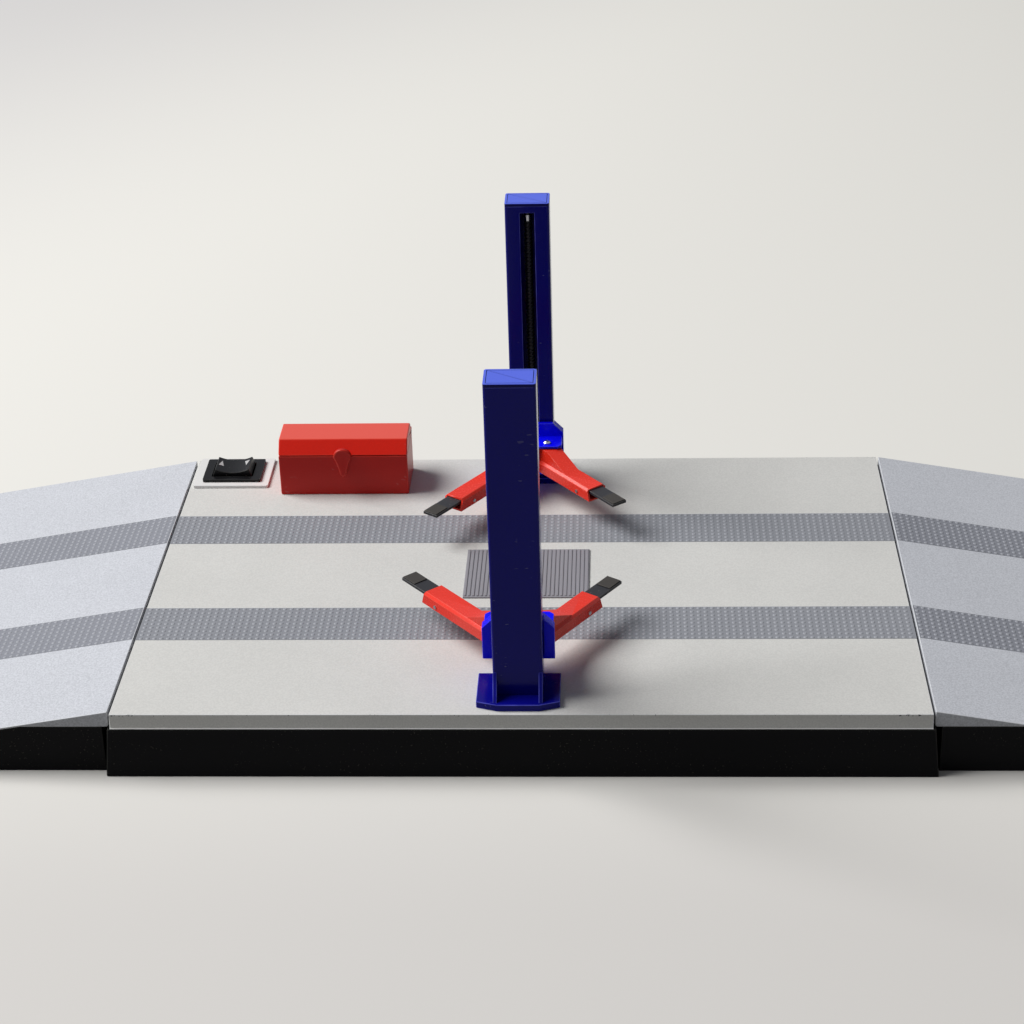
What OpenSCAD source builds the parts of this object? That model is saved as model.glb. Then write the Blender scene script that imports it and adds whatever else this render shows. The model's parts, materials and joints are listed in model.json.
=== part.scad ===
// Toy two-post car lift on a platform with two drive-on ramps.
// The origin is on the ground under the middle of the platform.
// +X runs along the lane to the right ramp, +Y to the rear post and +Z up.

/* [Platform] */
// Length of the deck along the lane
deck_len = 360; // [340:1:400]
// Depth of the deck's top between its long edges
deck_depth = 246.6; // [240:0.1:270]
// Height of the deck's top above the ground
deck_h = 30.4; // [29:0.1:36]
// Height of the deck's long faces, with the bead along their foot
face_h = 6.9; // [5:0.1:8]
// How far the long faces lean out from the top to the bead
face_lean = 0.8; // [0.4:0.1:2]
// Height of the bead along the foot of each long face
bead_h = 0.5; // [0.4:0.1:1]
// How far the bead stands out from the face
bead_w = 0.6; // [0.4:0.1:1]
// Thickness of the deck plate
deck_t = 3.2; // [2.8:0.1:4]
// How far the skirt stands out past the deck's ends
skirt_lip = 1.3; // [0.8:0.1:2]
// How far the skirt's end walls lean out at the ground
end_draft = 2.2; // [1:0.1:3]
// How far the skirt's long walls lean out at the ground
side_draft = 2.2; // [1:0.1:3]
// Thickness of the tub's walls at their top
tub_wall = 2.6; // [2.4:0.1:3]
// Thickness of the tub's floor
floor_t = 2; // [1.6:0.1:2.5]
// Height of the floor above the ground
floor_lift = 2; // [2:0.1:3]

/* [Lane] */
// Distance between the centres of the two tread strips
track = 92; // [86:1:98]
// Width of a tread strip
strip_w = 28.8; // [24:0.1:32]
// Thickness of a tread strip
strip_t = 0.8; // [0.5:0.1:1]
// Length of the ribbed plate in the middle of the deck
plate_len = 60; // [50:1:70]
// Depth of the ribbed plate
plate_depth = 46.5; // [40:0.5:50]
// Thickness of the ribbed plate
plate_t = 0.7; // [0.5:0.1:1]
// Distance between two ribs of the plate
rib_pitch = 2; // [1.6:0.1:3]
// Width of a rib
rib_w = 1; // [0.6:0.1:1.4]
// Height of a rib
rib_h = 0.35; // [0.2:0.05:0.5]

/* [Posts] */
// Distance of each post's centre from the deck's long edge
post_inset = 18.7; // [17:0.1:21]
// Width of a post along the lane
post_w = 22; // [20:0.5:24]
// Depth of a post
post_d = 15.2; // [15:0.1:17]
// Height of a post above the deck, with its cap
post_h = 153.3; // [130:0.1:170]
// Wall of a post
post_wall = 1.6; // [1.2:0.1:1.8]
// Radius of a post's upright edges
post_r = 1.2; // [0.6:0.1:1.5]
// Width of the slot in a post's inner face
slot_w = 7.2; // [6.6:0.1:8]
// Distance of the slot's top below the top of the post
slot_top = 5; // [4.5:0.1:8]
// Height of the slot's lower end above the deck
slot_low = 4.5; // [4:0.1:5]
// Thickness of the cap's plate
cap_t = 1.5; // [1:0.1:2]
// Depth of the cap's plug
cap_plug = 3; // [2:0.1:3]

/* [Feet] */
// Width of a post's foot plate
foot_w = 36.9; // [34:0.1:40]
// Thickness of a foot plate
foot_t = 3.2; // [2.5:0.1:3.2]
// Reach of a foot plate past the post's inner face
foot_in = 2.7; // [2:0.1:3]
// Reach of a foot plate past the post's outer face
foot_out = 8.6; // [7:0.1:10]
// Length of the taper on a foot plate's outer corners
foot_taper = 9.2; // [6:0.1:10]
// Depth of that taper
foot_taper_d = 3; // [2:0.1:4]
// Thickness of a gusset
gusset_t = 1.9; // [1.2:0.1:2.5]
// Height of a gusset above the deck
gusset_h = 15; // [10:0.5:20]
// Reach of a gusset past the post's outer face
gusset_len = 7; // [5:0.1:7]

/* [Carriages] */
// Height of a carriage's lower edge above the deck at rest
carriage_rest = 12; // [12:0.1:20]
// Width of a carriage
carriage_w = 32; // [31:0.1:33]
// Height of a carriage
carriage_h = 22.9; // [20:0.1:25]
// Thickness of a carriage's face plate
carriage_t = 2.5; // [2:0.1:3]
// Size of the chamfer on the face plate's upper corners
carriage_chamfer = 5.2; // [3:0.1:6]
// Reach of the cheeks back along the post's sides
cheek_reach = 3; // [2:0.1:4]
// Height of the cheeks' lower edge above that of the face plate
cheek_rise = 2; // [1:0.1:3]
// Depth of the two shelves that hold the arms
shelf_d = 12.2; // [11.5:0.1:13]
// Thickness of the lower shelf
low_shelf_t = 1.2; // [1:0.1:1.4]
// Thickness of the upper shelf
top_shelf_t = 1.4; // [1:0.1:2]
// Size of the chamfer on the shelves' inner corners
shelf_chamfer = 2; // [1:0.1:3]
// Distance of an arm's pivot from the face plate
pivot_out = 8.1; // [7.5:0.1:8.4]
// Distance of an arm's pivot from the middle of the carriage
pivot_x = 7.75; // [7:0.05:8.2]
// Radius of a pivot screw's shank
pivot_r = 1.5; // [1.2:0.05:1.6]
// Radius of a pivot screw's head
pivot_head_r = 1.9; // [1.8:0.05:2.2]
// Height of a pivot screw's head
pivot_head_h = 1.2; // [0.8:0.1:1.5]

/* [Arms] */
// Length of the left arms' tubes from pivot to mouth
left_arm_len = 52.4; // [50:0.1:56]
// Length of the right arms' tubes from pivot to mouth
right_arm_len = 41.8; // [41:0.1:46]
// Width of an arm's tube
arm_w = 11.3; // [11:0.1:12]
// Height of an arm's tube
arm_h = 6.2; // [6:0.1:6.8]
// Size of the chamfer along a tube's upper edges
arm_chamfer = 1.2; // [0.6:0.1:1.4]
// Side wall of a tube
arm_wall = 1.1; // [0.9:0.1:1.2]
// Upper and lower wall of a tube
arm_skin = 0.9; // [0.8:0.1:1]
// How far the mouth's lower lip stands out past its upper lip
mouth_slant = 2; // [1:0.1:2.5]
// Height of the hump at an arm's root above its tube
hump_rise = 6.6; // [5:0.1:7]
// Width of the hump
hump_w = 8.6; // [7:0.1:9]
// Distance from the pivot at which the hump has run out
hump_len = 21; // [18:0.1:24]
// Angle of the front left arm to the lane
front_left_angle = 49.4; // [20:0.1:80]
// Angle of the front right arm to the lane
front_right_angle = 55.1; // [20:0.1:80]
// Angle of the rear left arm to the lane
rear_left_angle = 54.9; // [20:0.1:80]
// Angle of the rear right arm to the lane
rear_right_angle = 52.1; // [20:0.1:80]

/* [Extensions] */
// Thickness of an extension plate
ext_t = 1.5; // [1.2:0.1:1.8]
// How far an extension plate stands out of its tube
ext_out = 18.4; // [17:0.1:22]
// Length of the tail block that guides the plate
tail_len = 6; // [4:0.1:7]
// Distance of the tail block behind the mouth
tail_back = 18.5; // [18.5:0.1:20]
// Length of the rubber pad
pad_len = 8.8; // [6:0.1:9]
// Width of the rubber pad
pad_w = 7.4; // [6:0.1:7.8]
// Thickness of the rubber pad
pad_t = 0.5; // [0.3:0.1:0.7]
// Radius of the stop pin across a tube
stop_r = 0.9; // [0.7:0.05:1]
// Distance of the stop pin behind the mouth
stop_back = 9.4; // [9:0.1:9.5]
// How far the stop pin's ends stand out of the tube
stop_out = 0.4; // [0.2:0.1:0.6]

/* [Drive] */
// Radius of a lead screw's threaded length
screw_r = 2; // [1.8:0.1:2.2]
// Radius of a lead screw's plain ends
journal_r = 1.5; // [1.2:0.1:1.6]
// Height of a lift nut
nut_h = 15; // [12:0.5:16]
// Outer radius of a bush
bush_r = 3; // [2.5:0.1:3]
// Height of a bush
bush_h = 3; // [2.5:0.1:3]
// Radius at which the belt runs on its pulleys
pulley_r = 7; // [6:0.1:8]
// Radius of the pulley's flanges
flange_r = 9; // [8.8:0.1:10]
// Thickness of a pulley's flange
flange_t = 0.8; // [0.6:0.1:1]
// Width of the belt
belt_w = 4.4; // [4:0.1:5]
// Thickness of the belt
belt_t = 1.2; // [0.8:0.1:1.4]
// Teeth on the drive gear
gear_teeth = 32; // [30:1:33]
// Teeth on the motor pinion
pinion_teeth = 12; // [12:1:14]
// Tooth size, as pitch diameter over number of teeth
tooth_module = 1; // [0.95:0.05:1.05]
// Face width of the gear and the pinion
gear_face = 3; // [2:0.1:3.2]
// Radius of the motor's can
motor_r = 12.2; // [10:0.1:12.5]
// Height of the motor's can
motor_h = 11; // [10:0.1:11.2]
// Radius of the motor's shaft
shaft_r = 1; // [0.8:0.1:1.2]

/* [Battery box] */
// Distance of the battery box from the middle of the platform
battery_x = 84; // [78:1:100]
// Number of cells
cell_count = 3; // [2:1:4]
// Radius of a cell
cell_r = 7.1; // [5:0.1:7.2]
// Length of a cell, with its button
cell_len = 50.5; // [44:0.1:51]
// Wall of the battery box
case_wall = 1.2; // [1:0.1:1.5]
// Thickness of the battery door
door_t = 1.3; // [1:0.1:1.3]

/* [Toolbox] */
// Gap between the switch's plinth and the toolbox
toolbox_gap = 8.1; // [6:0.1:25]
// Distance of the toolbox's back from the deck's rear edge
toolbox_back = 10.3; // [9:0.1:15]
// Width of the toolbox
toolbox_w = 66.6; // [50:0.1:70]
// Depth of the toolbox
toolbox_d = 29.2; // [24:0.1:32]
// Height of the toolbox up to its lid
toolbox_h = 22.4; // [15:0.1:25]
// Height of the lid
lid_h = 7.1; // [6:0.1:12]
// How far the lid's long faces lean in at the top
lid_lean = 5.5; // [2:0.1:7]
// Wall of the toolbox and its lid
toolbox_wall = 1.4; // [1:0.1:1.8]
// Radius of the lid's hinge barrel
barrel_r = 1.5; // [1.2:0.1:1.8]
// Radius of the hinge pin
hinge_r = 0.7; // [0.5:0.05:0.8]
// Width of the clasp
clasp_w = 9.4; // [7:0.1:12]
// Length of the clasp's tail below the lid's edge
clasp_tail = 11; // [8:0.1:14]

/* [Switch] */
// Distance of the switch's middle from the deck's left end
switch_inset = 21.5; // [20:0.5:30]
// Distance of the switch's middle from the deck's rear edge
switch_back = 16.3; // [16:0.1:19]
// Length of the plinth
plinth_len = 39.4; // [36:0.1:41]
// Depth of the plinth
plinth_depth = 31.6; // [28:0.1:32]
// Height of the plinth
plinth_h = 1.5; // [1:0.1:2]
// Length of the bezel
bezel_len = 30.4; // [30:0.1:32]
// Depth of the bezel
bezel_depth = 23.8; // [22.5:0.1:25]
// Thickness of the bezel
bezel_t = 1.6; // [1.2:0.1:2.5]
// Length of the rocker
rocker_len = 20.6; // [18:0.1:21]
// Depth of the rocker
rocker_depth = 15; // [12:0.1:15.4]
// Height of the rocker's raised ends above the bezel
rocker_end_h = 3.8; // [3:0.1:4.5]
// Height of the rocker's middle above the bezel
rocker_mid_h = 1.8; // [1.5:0.1:2.5]

/* [Ramps] */
// Length of a ramp along the ground
ramp_run = 171; // [150:1:190]
// Height of a ramp's upper edge above the deck
ramp_step = 0.6; // [0.4:0.1:2]
// Height of a ramp at its tip
ramp_tip = 1.6; // [1.2:0.1:2]
// How far a ramp's long edges stand in from the deck's long edges
ramp_inset = 1.3; // [0.5:0.1:8]
// Gap between a ramp's deck and the platform's deck
ramp_gap = 1; // [0.8:0.1:2.5]
// How far the ramp base's level shoulder lies below the skirt's top
shoulder_drop = 0.3; // [0.2:0.1:3]
// Thickness of the ramp's deck skin
ramp_skin = 1; // [0.9:0.1:1.5]
// Wall of the ramp's base
ramp_wall = 2.5; // [2:0.1:3]
// Length of the solid lip at a ramp's tip
ramp_lip = 8; // [6:0.5:12]
// Distance of each tongue from the middle of the ramp
tongue_y = 70; // [60:1:90]
// Width of a tongue
tongue_w = 14; // [10:0.5:18]
// Thickness of a tongue
tongue_t = 5; // [4:0.1:6]

/* [Hidden] */

$fn = 48;
// Overrun of every cut
over = 1;
// Radial clearance of a shaft in its bore
fit = 0.05;
// Clearance between flat faces that slide
slide_gap = 0.3;
// Clearance between the arm and the shelf that it turns on
turn_gap = 0.1;
// Steps of a rounded corner
corner_steps = 6;

// Colours
deck_grey = [0.80, 0.80, 0.79];
ramp_grey = [0.74, 0.76, 0.79];
tread_grey = [0.55, 0.55, 0.58];
plate_grey = [0.45, 0.45, 0.47];
tub_black = [0.06, 0.06, 0.06];
navy = [0.06, 0.06, 0.30];
lift_blue = [0.07, 0.07, 0.75];
arm_red = [0.88, 0.22, 0.16];
box_red = [0.72, 0.12, 0.06];
ext_black = [0.14, 0.14, 0.15];
steel = [0.72, 0.72, 0.74];
brass = [0.78, 0.62, 0.28];
plinth_grey = [0.78, 0.78, 0.76];
cell_green = [0.20, 0.45, 0.30];
wire_red = [0.70, 0.10, 0.10];

// Levels above the ground
deck_low = deck_h - deck_t;
skirt_h = deck_h - face_h;
floor_top = floor_lift + floor_t;

// Half sizes of the skirt at its top
skirt_x = deck_len / 2 + skirt_lip;
skirt_y = deck_depth / 2 + face_lean + bead_w;
// How far the deck's rim reaches in over the tub's walls
rim_in = 1.3;

// Screws that hold the deck: distances from its ends and edges, places, sizes
deck_screw_from_end = 15;
deck_screw_from_corner = 43;
deck_screw_from_edge = 9;
deck_screw_x = deck_len / 2 - deck_screw_from_end;
deck_screw_mid_x = 70;
deck_screw_end_y = deck_depth / 2 - deck_screw_from_corner;
deck_screw_side_y = deck_depth / 2 - deck_screw_from_edge;
boss_r = 4;
fixing_r = 1.25;
fixing_head_r = 2.3;
fixing_head_h = 1.3;
fixing_bite = 2;

// Foot plate: screws from below
foot_screw_edge = 4;
foot_screw_back = 2;
foot_screw_reach = 4;
foot_screw_x = foot_w / 2 - foot_screw_edge;
foot_screw_in = post_d / 2 - foot_screw_back;
foot_screw_out = post_d / 2 + foot_screw_reach;
foot_screw_head_t = 1.3;

// Post
post_y = deck_depth / 2 - post_inset;
column_h = post_h - cap_t;
plug_fit = 0.1;
slot_high = post_h - slot_top;
screw_hole_r = screw_r + 0.5 * fixing_r;

// Carriage, in the frame of its post: Y points to the middle of the platform
carriage_y0 = post_d / 2 + slide_gap;
carriage_y1 = carriage_y0 + carriage_t;
shelf_y1 = carriage_y1 + shelf_d;
pivot_y = carriage_y1 + pivot_out;
cheek_x0 = post_w / 2 + slide_gap;
cheek_y0 = carriage_y0 - cheek_reach;
arm_z = carriage_rest + low_shelf_t + turn_gap;
top_shelf_z = arm_z + arm_h + hump_rise + slide_gap;
tongue_fit = 0.3;
nut_y0 = post_d / 2 - post_wall - slide_gap;
key_z0 = 2;
key_h = 19;
nut_z0 = key_z0 + key_h / 2 - nut_h / 2;
shelf_half = carriage_w / 2 - 0.5 * low_shelf_t;

// Arm
ext_gap = slide_gap / 2;
cavity_w = arm_w - 2 * arm_wall;
ext_w = cavity_w - 2 * slide_gap;
ext_top = arm_h - arm_skin - ext_gap;
ext_low = ext_top - ext_t;
ext_in_travel = 6;
tail_end = tail_back + tail_len;
cavity_back = tail_end + ext_in_travel + ext_gap;
pad_inset = 0.4;
stop_z = arm_skin + stop_r + ext_gap;
hump_flat = arm_w / 2 + 0.5 * pivot_r;

// Drive
bush_fit = 0.05;
bush_seat_z = floor_top + 0.5 * bush_h;
seat_wall = 2;
pulley_gap = 0.5;
pulley_z = bush_seat_z + bush_h + pulley_gap;
pulley_h = belt_w + 2 * slide_gap + 2 * flange_t;
gear_z = pulley_z + pulley_h + slide_gap;
journal_z = bush_seat_z + pulley_gap / 2;
thread_z = deck_h + pulley_gap;
gear_r = tooth_module * gear_teeth / 2;
pinion_r = tooth_module * pinion_teeth / 2;
motor_x = gear_r + pinion_r;
tooth_top = tooth_module;
tooth_root = 1.25 * tooth_module;
root_share = 0.60;
pitch_share = 0.44;
tip_share = 0.20;
motor_ring = 1.5;
motor_ring_h = 3;
motor_boss_r = 3;
motor_boss_h = 0.6;
shaft_depth = 4;

// Battery box
cell_gap = 0.8;
cell_pitch = 2 * cell_r + cell_gap;
bay_x = cell_count * cell_pitch + cell_gap;
bay_y = cell_len + 2 * cell_gap;
cell_z = floor_lift + slide_gap + cell_r;
case_x = bay_x + 2 * case_wall;
case_y = bay_y + 2 * case_wall;
case_top = cell_z + cell_r + cell_gap + case_wall;
button_r = 2.7;
button_h = 1.3;
door_x = bay_x + 2 * case_wall;
door_y = bay_y + 2 * case_wall;
door_z = floor_lift - slide_gap / 3 - door_t;
rail_w = 1.6;
rail_lip = 1.2;
rail_t = 0.3;
grip_count = 4;
grip_pitch = 2.4;
grip_w = 0.8;
grip_depth = 0.4;

// Switch
switch_x = -deck_len / 2 + switch_inset;
switch_y = deck_depth / 2 - switch_back;
switch_body_x = 26;
switch_body_y = 19.4;
switch_body_h = 13;
switch_fit = 0.3;
rocker_gap = 0.4;
rocker_well = 8;
rocker_pivot_drop = 1.2;
rocker_pivot_r = 1.2;
rocker_belly = 4.6;
rocker_top_share = 0.86;
rocker_side_steps = 12;
terminal_x = 4.8;
terminal_y = 0.8;
terminal_h = 5;
terminal_pitch = 9;
switch_top = deck_h + plinth_h + bezel_t;
bezel_r = 1.2;

// Toolbox
toolbox_x = switch_x + plinth_len / 2 + toolbox_gap + toolbox_w / 2;
toolbox_y = deck_depth / 2 - toolbox_back - toolbox_d;
hinge_y = toolbox_y + toolbox_d + 0.8 * barrel_r;
hinge_z = deck_h + toolbox_h;
lid_gap = 0.2;
knuckle_share = 0.25;
clasp_t = 2.2;
clasp_head_h = 4.5;
clasp_tail_w = 3.4;
clasp_gap = 0.3;
clasp_steps = 10;

// Ramp
ramp_depth = deck_depth - 2 * ramp_inset;
ramp_x0 = deck_len / 2 + ramp_gap;
ramp_top = deck_h + ramp_step;
ramp_slope = (ramp_top - ramp_tip) / ramp_run;
base_x0 = skirt_x + end_draft + 2 * slide_gap;
shoulder_h = skirt_h - shoulder_drop;
shoulder_x = ramp_x0 + (ramp_top - ramp_skin - shoulder_h) / ramp_slope;
ramp_x1 = ramp_x0 + ramp_run;
lip_x = ramp_x1 - ramp_lip;
// Where the ramp's deck laps over the skirt's top
lap_x = max(ramp_x0, skirt_x + slide_gap);
lap_z = skirt_h + slide_gap;
tongue_z = 10;
tongue_in = 3;
ramp_ribs = 3;
ramp_rib_t = 2;
inlay_margin = 0.6;
inlay_t = 0.6 * ramp_skin;

// Wires under the deck: their size, their levels over the floor and their turns
wire_r = 0.7;
wire_sides = 8;
wire_reference = [3, 5, 7];
wire_lift = 1;
wire_low = floor_top + wire_lift;
wire_rise = 5;
wire_high = wire_low + wire_rise;
wire_lane = 20;
wire_lead = 14.9;
wire_turn = 44.6;
wire_climb = 29.6;
motor_tab = 3;
motor_tab_y = motor_r - 2 * fit;
terminal_z = deck_h + plinth_h - switch_body_h - terminal_h;
battery_end_x = battery_x - case_x / 2;
switch_route = [
  [switch_x + terminal_pitch, switch_y, terminal_z], [switch_x + terminal_pitch, switch_y, wire_low],
  [switch_x + terminal_pitch, wire_lane, wire_low], [battery_end_x, wire_lane, wire_low]
];
motor_route = [
  [switch_x, switch_y, terminal_z], [switch_x, switch_y, wire_low],
  [switch_x, wire_turn - post_y, wire_low], [motor_x - motor_tab, wire_turn - post_y, wire_low],
  [motor_x - motor_tab, wire_climb - post_y, wire_high],
  [motor_x - motor_tab, motor_tab_y - post_y, wire_high]
];
battery_route = [
  [battery_end_x, -wire_lane, wire_high], [battery_end_x - wire_lead, -wire_lane, wire_high],
  [motor_x + motor_tab, wire_turn - post_y, wire_high], [motor_x + motor_tab, motor_tab_y - post_y, wire_high]
];

// Height of a ramp's surface above a place along the lane
function ramp_z(x) = ramp_top - (x - ramp_x0) * ramp_slope;

// Points of an upright box's plan with rounded corners, centred
function rounded_plan(w, d, r) = [
  for (corner = [0 : 3])
    for (step = [0 : corner_steps])
      let (
        a = 90 * (corner + step / corner_steps),
        sx = (corner == 0 || corner == 3) ? 1 : -1,
        sy = corner < 2 ? 1 : -1
      )
      [sx * (w / 2 - r) + r * cos(a), sy * (d / 2 - r) + r * sin(a)]
];

// Corners of one tooth space by space, as [radius, angle] around a gear
function gear_outline(teeth, pitch_radius) = [
  for (tooth = [0 : teeth - 1])
    let (
      mid = 360 * tooth / teeth,
      step = 360 / teeth,
      root = pitch_radius - tooth_root,
      tip = pitch_radius + tooth_top
    )
    for (side = [-1, 1])
      for (corner = side < 0 ? [0, 1, 2] : [2, 1, 0])
        let (
          radius = corner == 0 ? root : corner == 1 ? pitch_radius : tip,
          share = corner == 0 ? root_share : corner == 1 ? pitch_share : tip_share,
          a = mid + side * step * share / 2
        )
        [radius * cos(a), radius * sin(a)]
];

// Upright box, centred in plan, standing on z = 0
module block(size_x, size_y, size_z) {
  translate([-size_x / 2, -size_y / 2, 0]) cube([size_x, size_y, size_z]);
}

// Upright box with rounded upright edges
module rounded_block(size_x, size_y, size_z, r) {
  linear_extrude(size_z) polygon(rounded_plan(size_x, size_y, r));
}

// Outline in X and Z, extruded over a depth that is centred on Y
module side_profile(points, depth) {
  translate([0, depth / 2, 0]) rotate([90, 0, 0]) linear_extrude(depth) polygon(points);
}

// Outline in Y and Z, extruded over a length that is centred on X
module end_profile(points, length) {
  translate([-length / 2, 0, 0]) rotate([90, 0, 90]) linear_extrude(length) polygon(points);
}

// Puts children into the frame of the front post, or mirrored into the rear one
module at_post(rear) {
  if (rear) mirror([0, 1, 0]) translate([0, -post_y, 0]) children();
  else translate([0, -post_y, 0]) children();
}

// Puts children at the places of the deck's screws
module at_deck_screws() {
  for (sx = [-1, 1])
    for (sy = [-1, 1]) {
      translate([sx * deck_screw_x, sy * deck_screw_end_y, 0]) children();
      translate([sx * deck_screw_mid_x, sy * deck_screw_side_y, 0]) children();
    }
}

// Puts children at the places of one foot's screws
module at_foot_screws() {
  for (sx = [-1, 1])
    for (y = [foot_screw_in, -foot_screw_out])
      translate([sx * foot_screw_x, y, 0]) children();
}

// Solid of the skirt with its leaning walls
module skirt_solid() {
  intersection() {
    side_profile([
      [-skirt_x - end_draft, 0], [skirt_x + end_draft, 0],
      [skirt_x, skirt_h], [-skirt_x, skirt_h]
    ], 2 * (skirt_y + side_draft + over));
    end_profile([
      [-skirt_y - side_draft, 0], [skirt_y + side_draft, 0],
      [skirt_y, skirt_h], [-skirt_y, skirt_h]
    ], 2 * (skirt_x + end_draft + over));
  }
}

module base_tub() {
  inner_x = 2 * (skirt_x - tub_wall);
  inner_y = 2 * (skirt_y - tub_wall);
  color(tub_black) difference() {
    union() {
      difference() {
        skirt_solid();
        translate([0, 0, floor_top]) block(inner_x, inner_y, deck_h);
        translate([0, 0, -over]) block(inner_x, inner_y, floor_lift + over);
      }
      at_deck_screws() translate([0, 0, floor_lift]) cylinder(r = boss_r, h = deck_low - floor_lift);
      for (rear = [false, true])
        at_post(rear) translate([0, 0, floor_lift])
          cylinder(r = bush_r + seat_wall, h = bush_seat_z + bush_h - floor_lift);
      translate([motor_x, -post_y, floor_lift])
        cylinder(r = motor_r + fit + motor_ring, h = floor_t + motor_ring_h);
      for (side = [-1, 1]) battery_rail(side);
    }
    at_deck_screws() translate([0, 0, -over]) cylinder(r = fixing_r + fit, h = deck_h + over);
    for (rear = [false, true])
      at_post(rear) translate([0, 0, bush_seat_z]) cylinder(r = bush_r + bush_fit, h = deck_h);
    translate([motor_x, -post_y, floor_top]) cylinder(r = motor_r + fit, h = deck_h);
    translate([battery_x, 0, -over]) block(bay_x, bay_y, deck_h);
    for (side = [-1, 1])
      for (sy = [-1, 1])
        translate([side * skirt_x, sy * tongue_y, tongue_z - slide_gap])
          block(2 * (tub_wall + end_draft), tongue_w + 2 * slide_gap, tongue_t + 2 * slide_gap);
  }
}

// Rail under the floor that holds one long edge of the battery door
module battery_rail(side) {
  rail_y0 = door_y / 2 + slide_gap;
  low = door_z - slide_gap / 3 - rail_t;
  translate([battery_x - door_x / 2, side > 0 ? rail_y0 : -rail_y0 - rail_w, low])
    cube([door_x, rail_w, floor_lift - low]);
  translate([battery_x - door_x / 2, side > 0 ? rail_y0 - rail_lip : -rail_y0, low])
    cube([door_x, rail_lip, rail_t]);
}

module deck_plate() {
  foot_y = deck_depth / 2 + face_lean;
  color(deck_grey) difference() {
    end_profile([
      [-skirt_y, skirt_h], [skirt_y, skirt_h], [skirt_y, skirt_h + bead_h], [foot_y, skirt_h + bead_h],
      [deck_depth / 2, deck_h], [-deck_depth / 2, deck_h], [-foot_y, skirt_h + bead_h], [-skirt_y, skirt_h + bead_h]
    ], deck_len);
    translate([0, 0, skirt_h - over])
      block(2 * (skirt_x - tub_wall - rim_in), 2 * (skirt_y - tub_wall - rim_in), deck_low - skirt_h + over);
    for (sy = [-1, 1])
      translate([0, sy * track / 2, deck_h - strip_t]) block(deck_len + over, strip_w, strip_t + over);
    at_deck_screws() translate([0, 0, deck_low - over]) cylinder(r = fixing_r + fit, h = fixing_bite + over);
    for (rear = [false, true])
      at_post(rear) {
        translate([0, 0, deck_low - over]) cylinder(r = screw_hole_r, h = deck_t + 2 * over);
        at_foot_screws() translate([0, 0, deck_low - over]) cylinder(r = fixing_r + fit, h = deck_t + 2 * over);
      }
    translate([switch_x, switch_y, deck_low - over])
      block(switch_body_x + 2 * switch_fit, switch_body_y + 2 * switch_fit, deck_t + 2 * over);
  }
}

module deck_tread_strips() {
  color(tread_grey)
    for (sy = [-1, 1])
      translate([0, sy * track / 2, deck_h - strip_t]) block(deck_len, strip_w, strip_t);
}

module centre_plate() {
  ribs = floor((plate_len - rib_w) / rib_pitch);
  color(plate_grey) translate([0, 0, deck_h]) {
    block(plate_len, plate_depth, plate_t);
    for (i = [-ribs / 2 : ribs / 2])
      translate([i * rib_pitch, 0, 0]) block(rib_w, plate_depth - 2 * rib_w, plate_t + rib_h);
  }
}

module deck_screws() {
  color(steel)
    at_deck_screws() {
      translate([0, 0, floor_lift - fixing_head_h]) cylinder(r = fixing_head_r, h = fixing_head_h);
      translate([0, 0, floor_lift - fixing_head_h])
        cylinder(r = fixing_r, h = deck_low + fixing_bite - fit - floor_lift + fixing_head_h);
    }
}

module foot_screws() {
  head_z = deck_low - foot_screw_head_t;
  color(steel)
    for (rear = [false, true])
      at_post(rear) at_foot_screws() {
        translate([0, 0, head_z]) cylinder(r = fixing_head_r, h = foot_screw_head_t);
        translate([0, 0, head_z]) cylinder(r = fixing_r, h = deck_h + foot_t / 2 - head_z);
      }
}

module battery_case() {
  color(tub_black) difference() {
    translate([battery_x, 0, floor_top]) block(case_x, case_y, case_top - floor_top);
    translate([battery_x, 0, floor_top - over]) block(bay_x, bay_y, case_top - case_wall - floor_top + over);
  }
}

module battery_cells() {
  color(cell_green)
    for (i = [0 : cell_count - 1])
      translate([battery_x + (i - (cell_count - 1) / 2) * cell_pitch, -cell_len / 2, cell_z])
        rotate([-90, 0, 0]) {
          cylinder(r = cell_r, h = cell_len - button_h);
          cylinder(r = button_r, h = cell_len);
        }
}

module battery_door() {
  color(tub_black) difference() {
    translate([battery_x, 0, door_z]) block(door_x, door_y, door_t);
    for (i = [0 : grip_count - 1])
      translate([battery_x + door_x / 2 - (i + 1) * grip_pitch, 0, door_z - over])
        block(grip_w, door_y / 2, grip_depth + over);
  }
}

module motor() {
  color(steel) translate([motor_x, -post_y, floor_top]) difference() {
    union() {
      cylinder(r = motor_r, h = motor_h);
      cylinder(r = motor_boss_r, h = motor_h + motor_boss_h);
    }
    translate([0, 0, motor_h + motor_boss_h - shaft_depth]) cylinder(r = shaft_r + fit, h = shaft_depth + over);
  }
}

module motor_pinion() {
  shaft_z = floor_top + motor_h + motor_boss_h - shaft_depth + fit;
  color(brass) translate([motor_x, -post_y, 0]) {
    translate([0, 0, shaft_z]) cylinder(r = shaft_r, h = gear_z - shaft_z + gear_face);
    translate([0, 0, gear_z]) rotate([0, 0, 180 + 180 / pinion_teeth])
      linear_extrude(gear_face) polygon(gear_outline(pinion_teeth, pinion_r));
  }
}

// Belt pulley on a lead screw
module pulley() {
  difference() {
    union() {
      cylinder(r = flange_r, h = flange_t);
      cylinder(r = pulley_r, h = pulley_h);
      translate([0, 0, pulley_h - flange_t]) cylinder(r = flange_r, h = flange_t);
    }
    translate([0, 0, -over]) cylinder(r = journal_r + fit / 2, h = pulley_h + 2 * over);
  }
}

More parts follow.
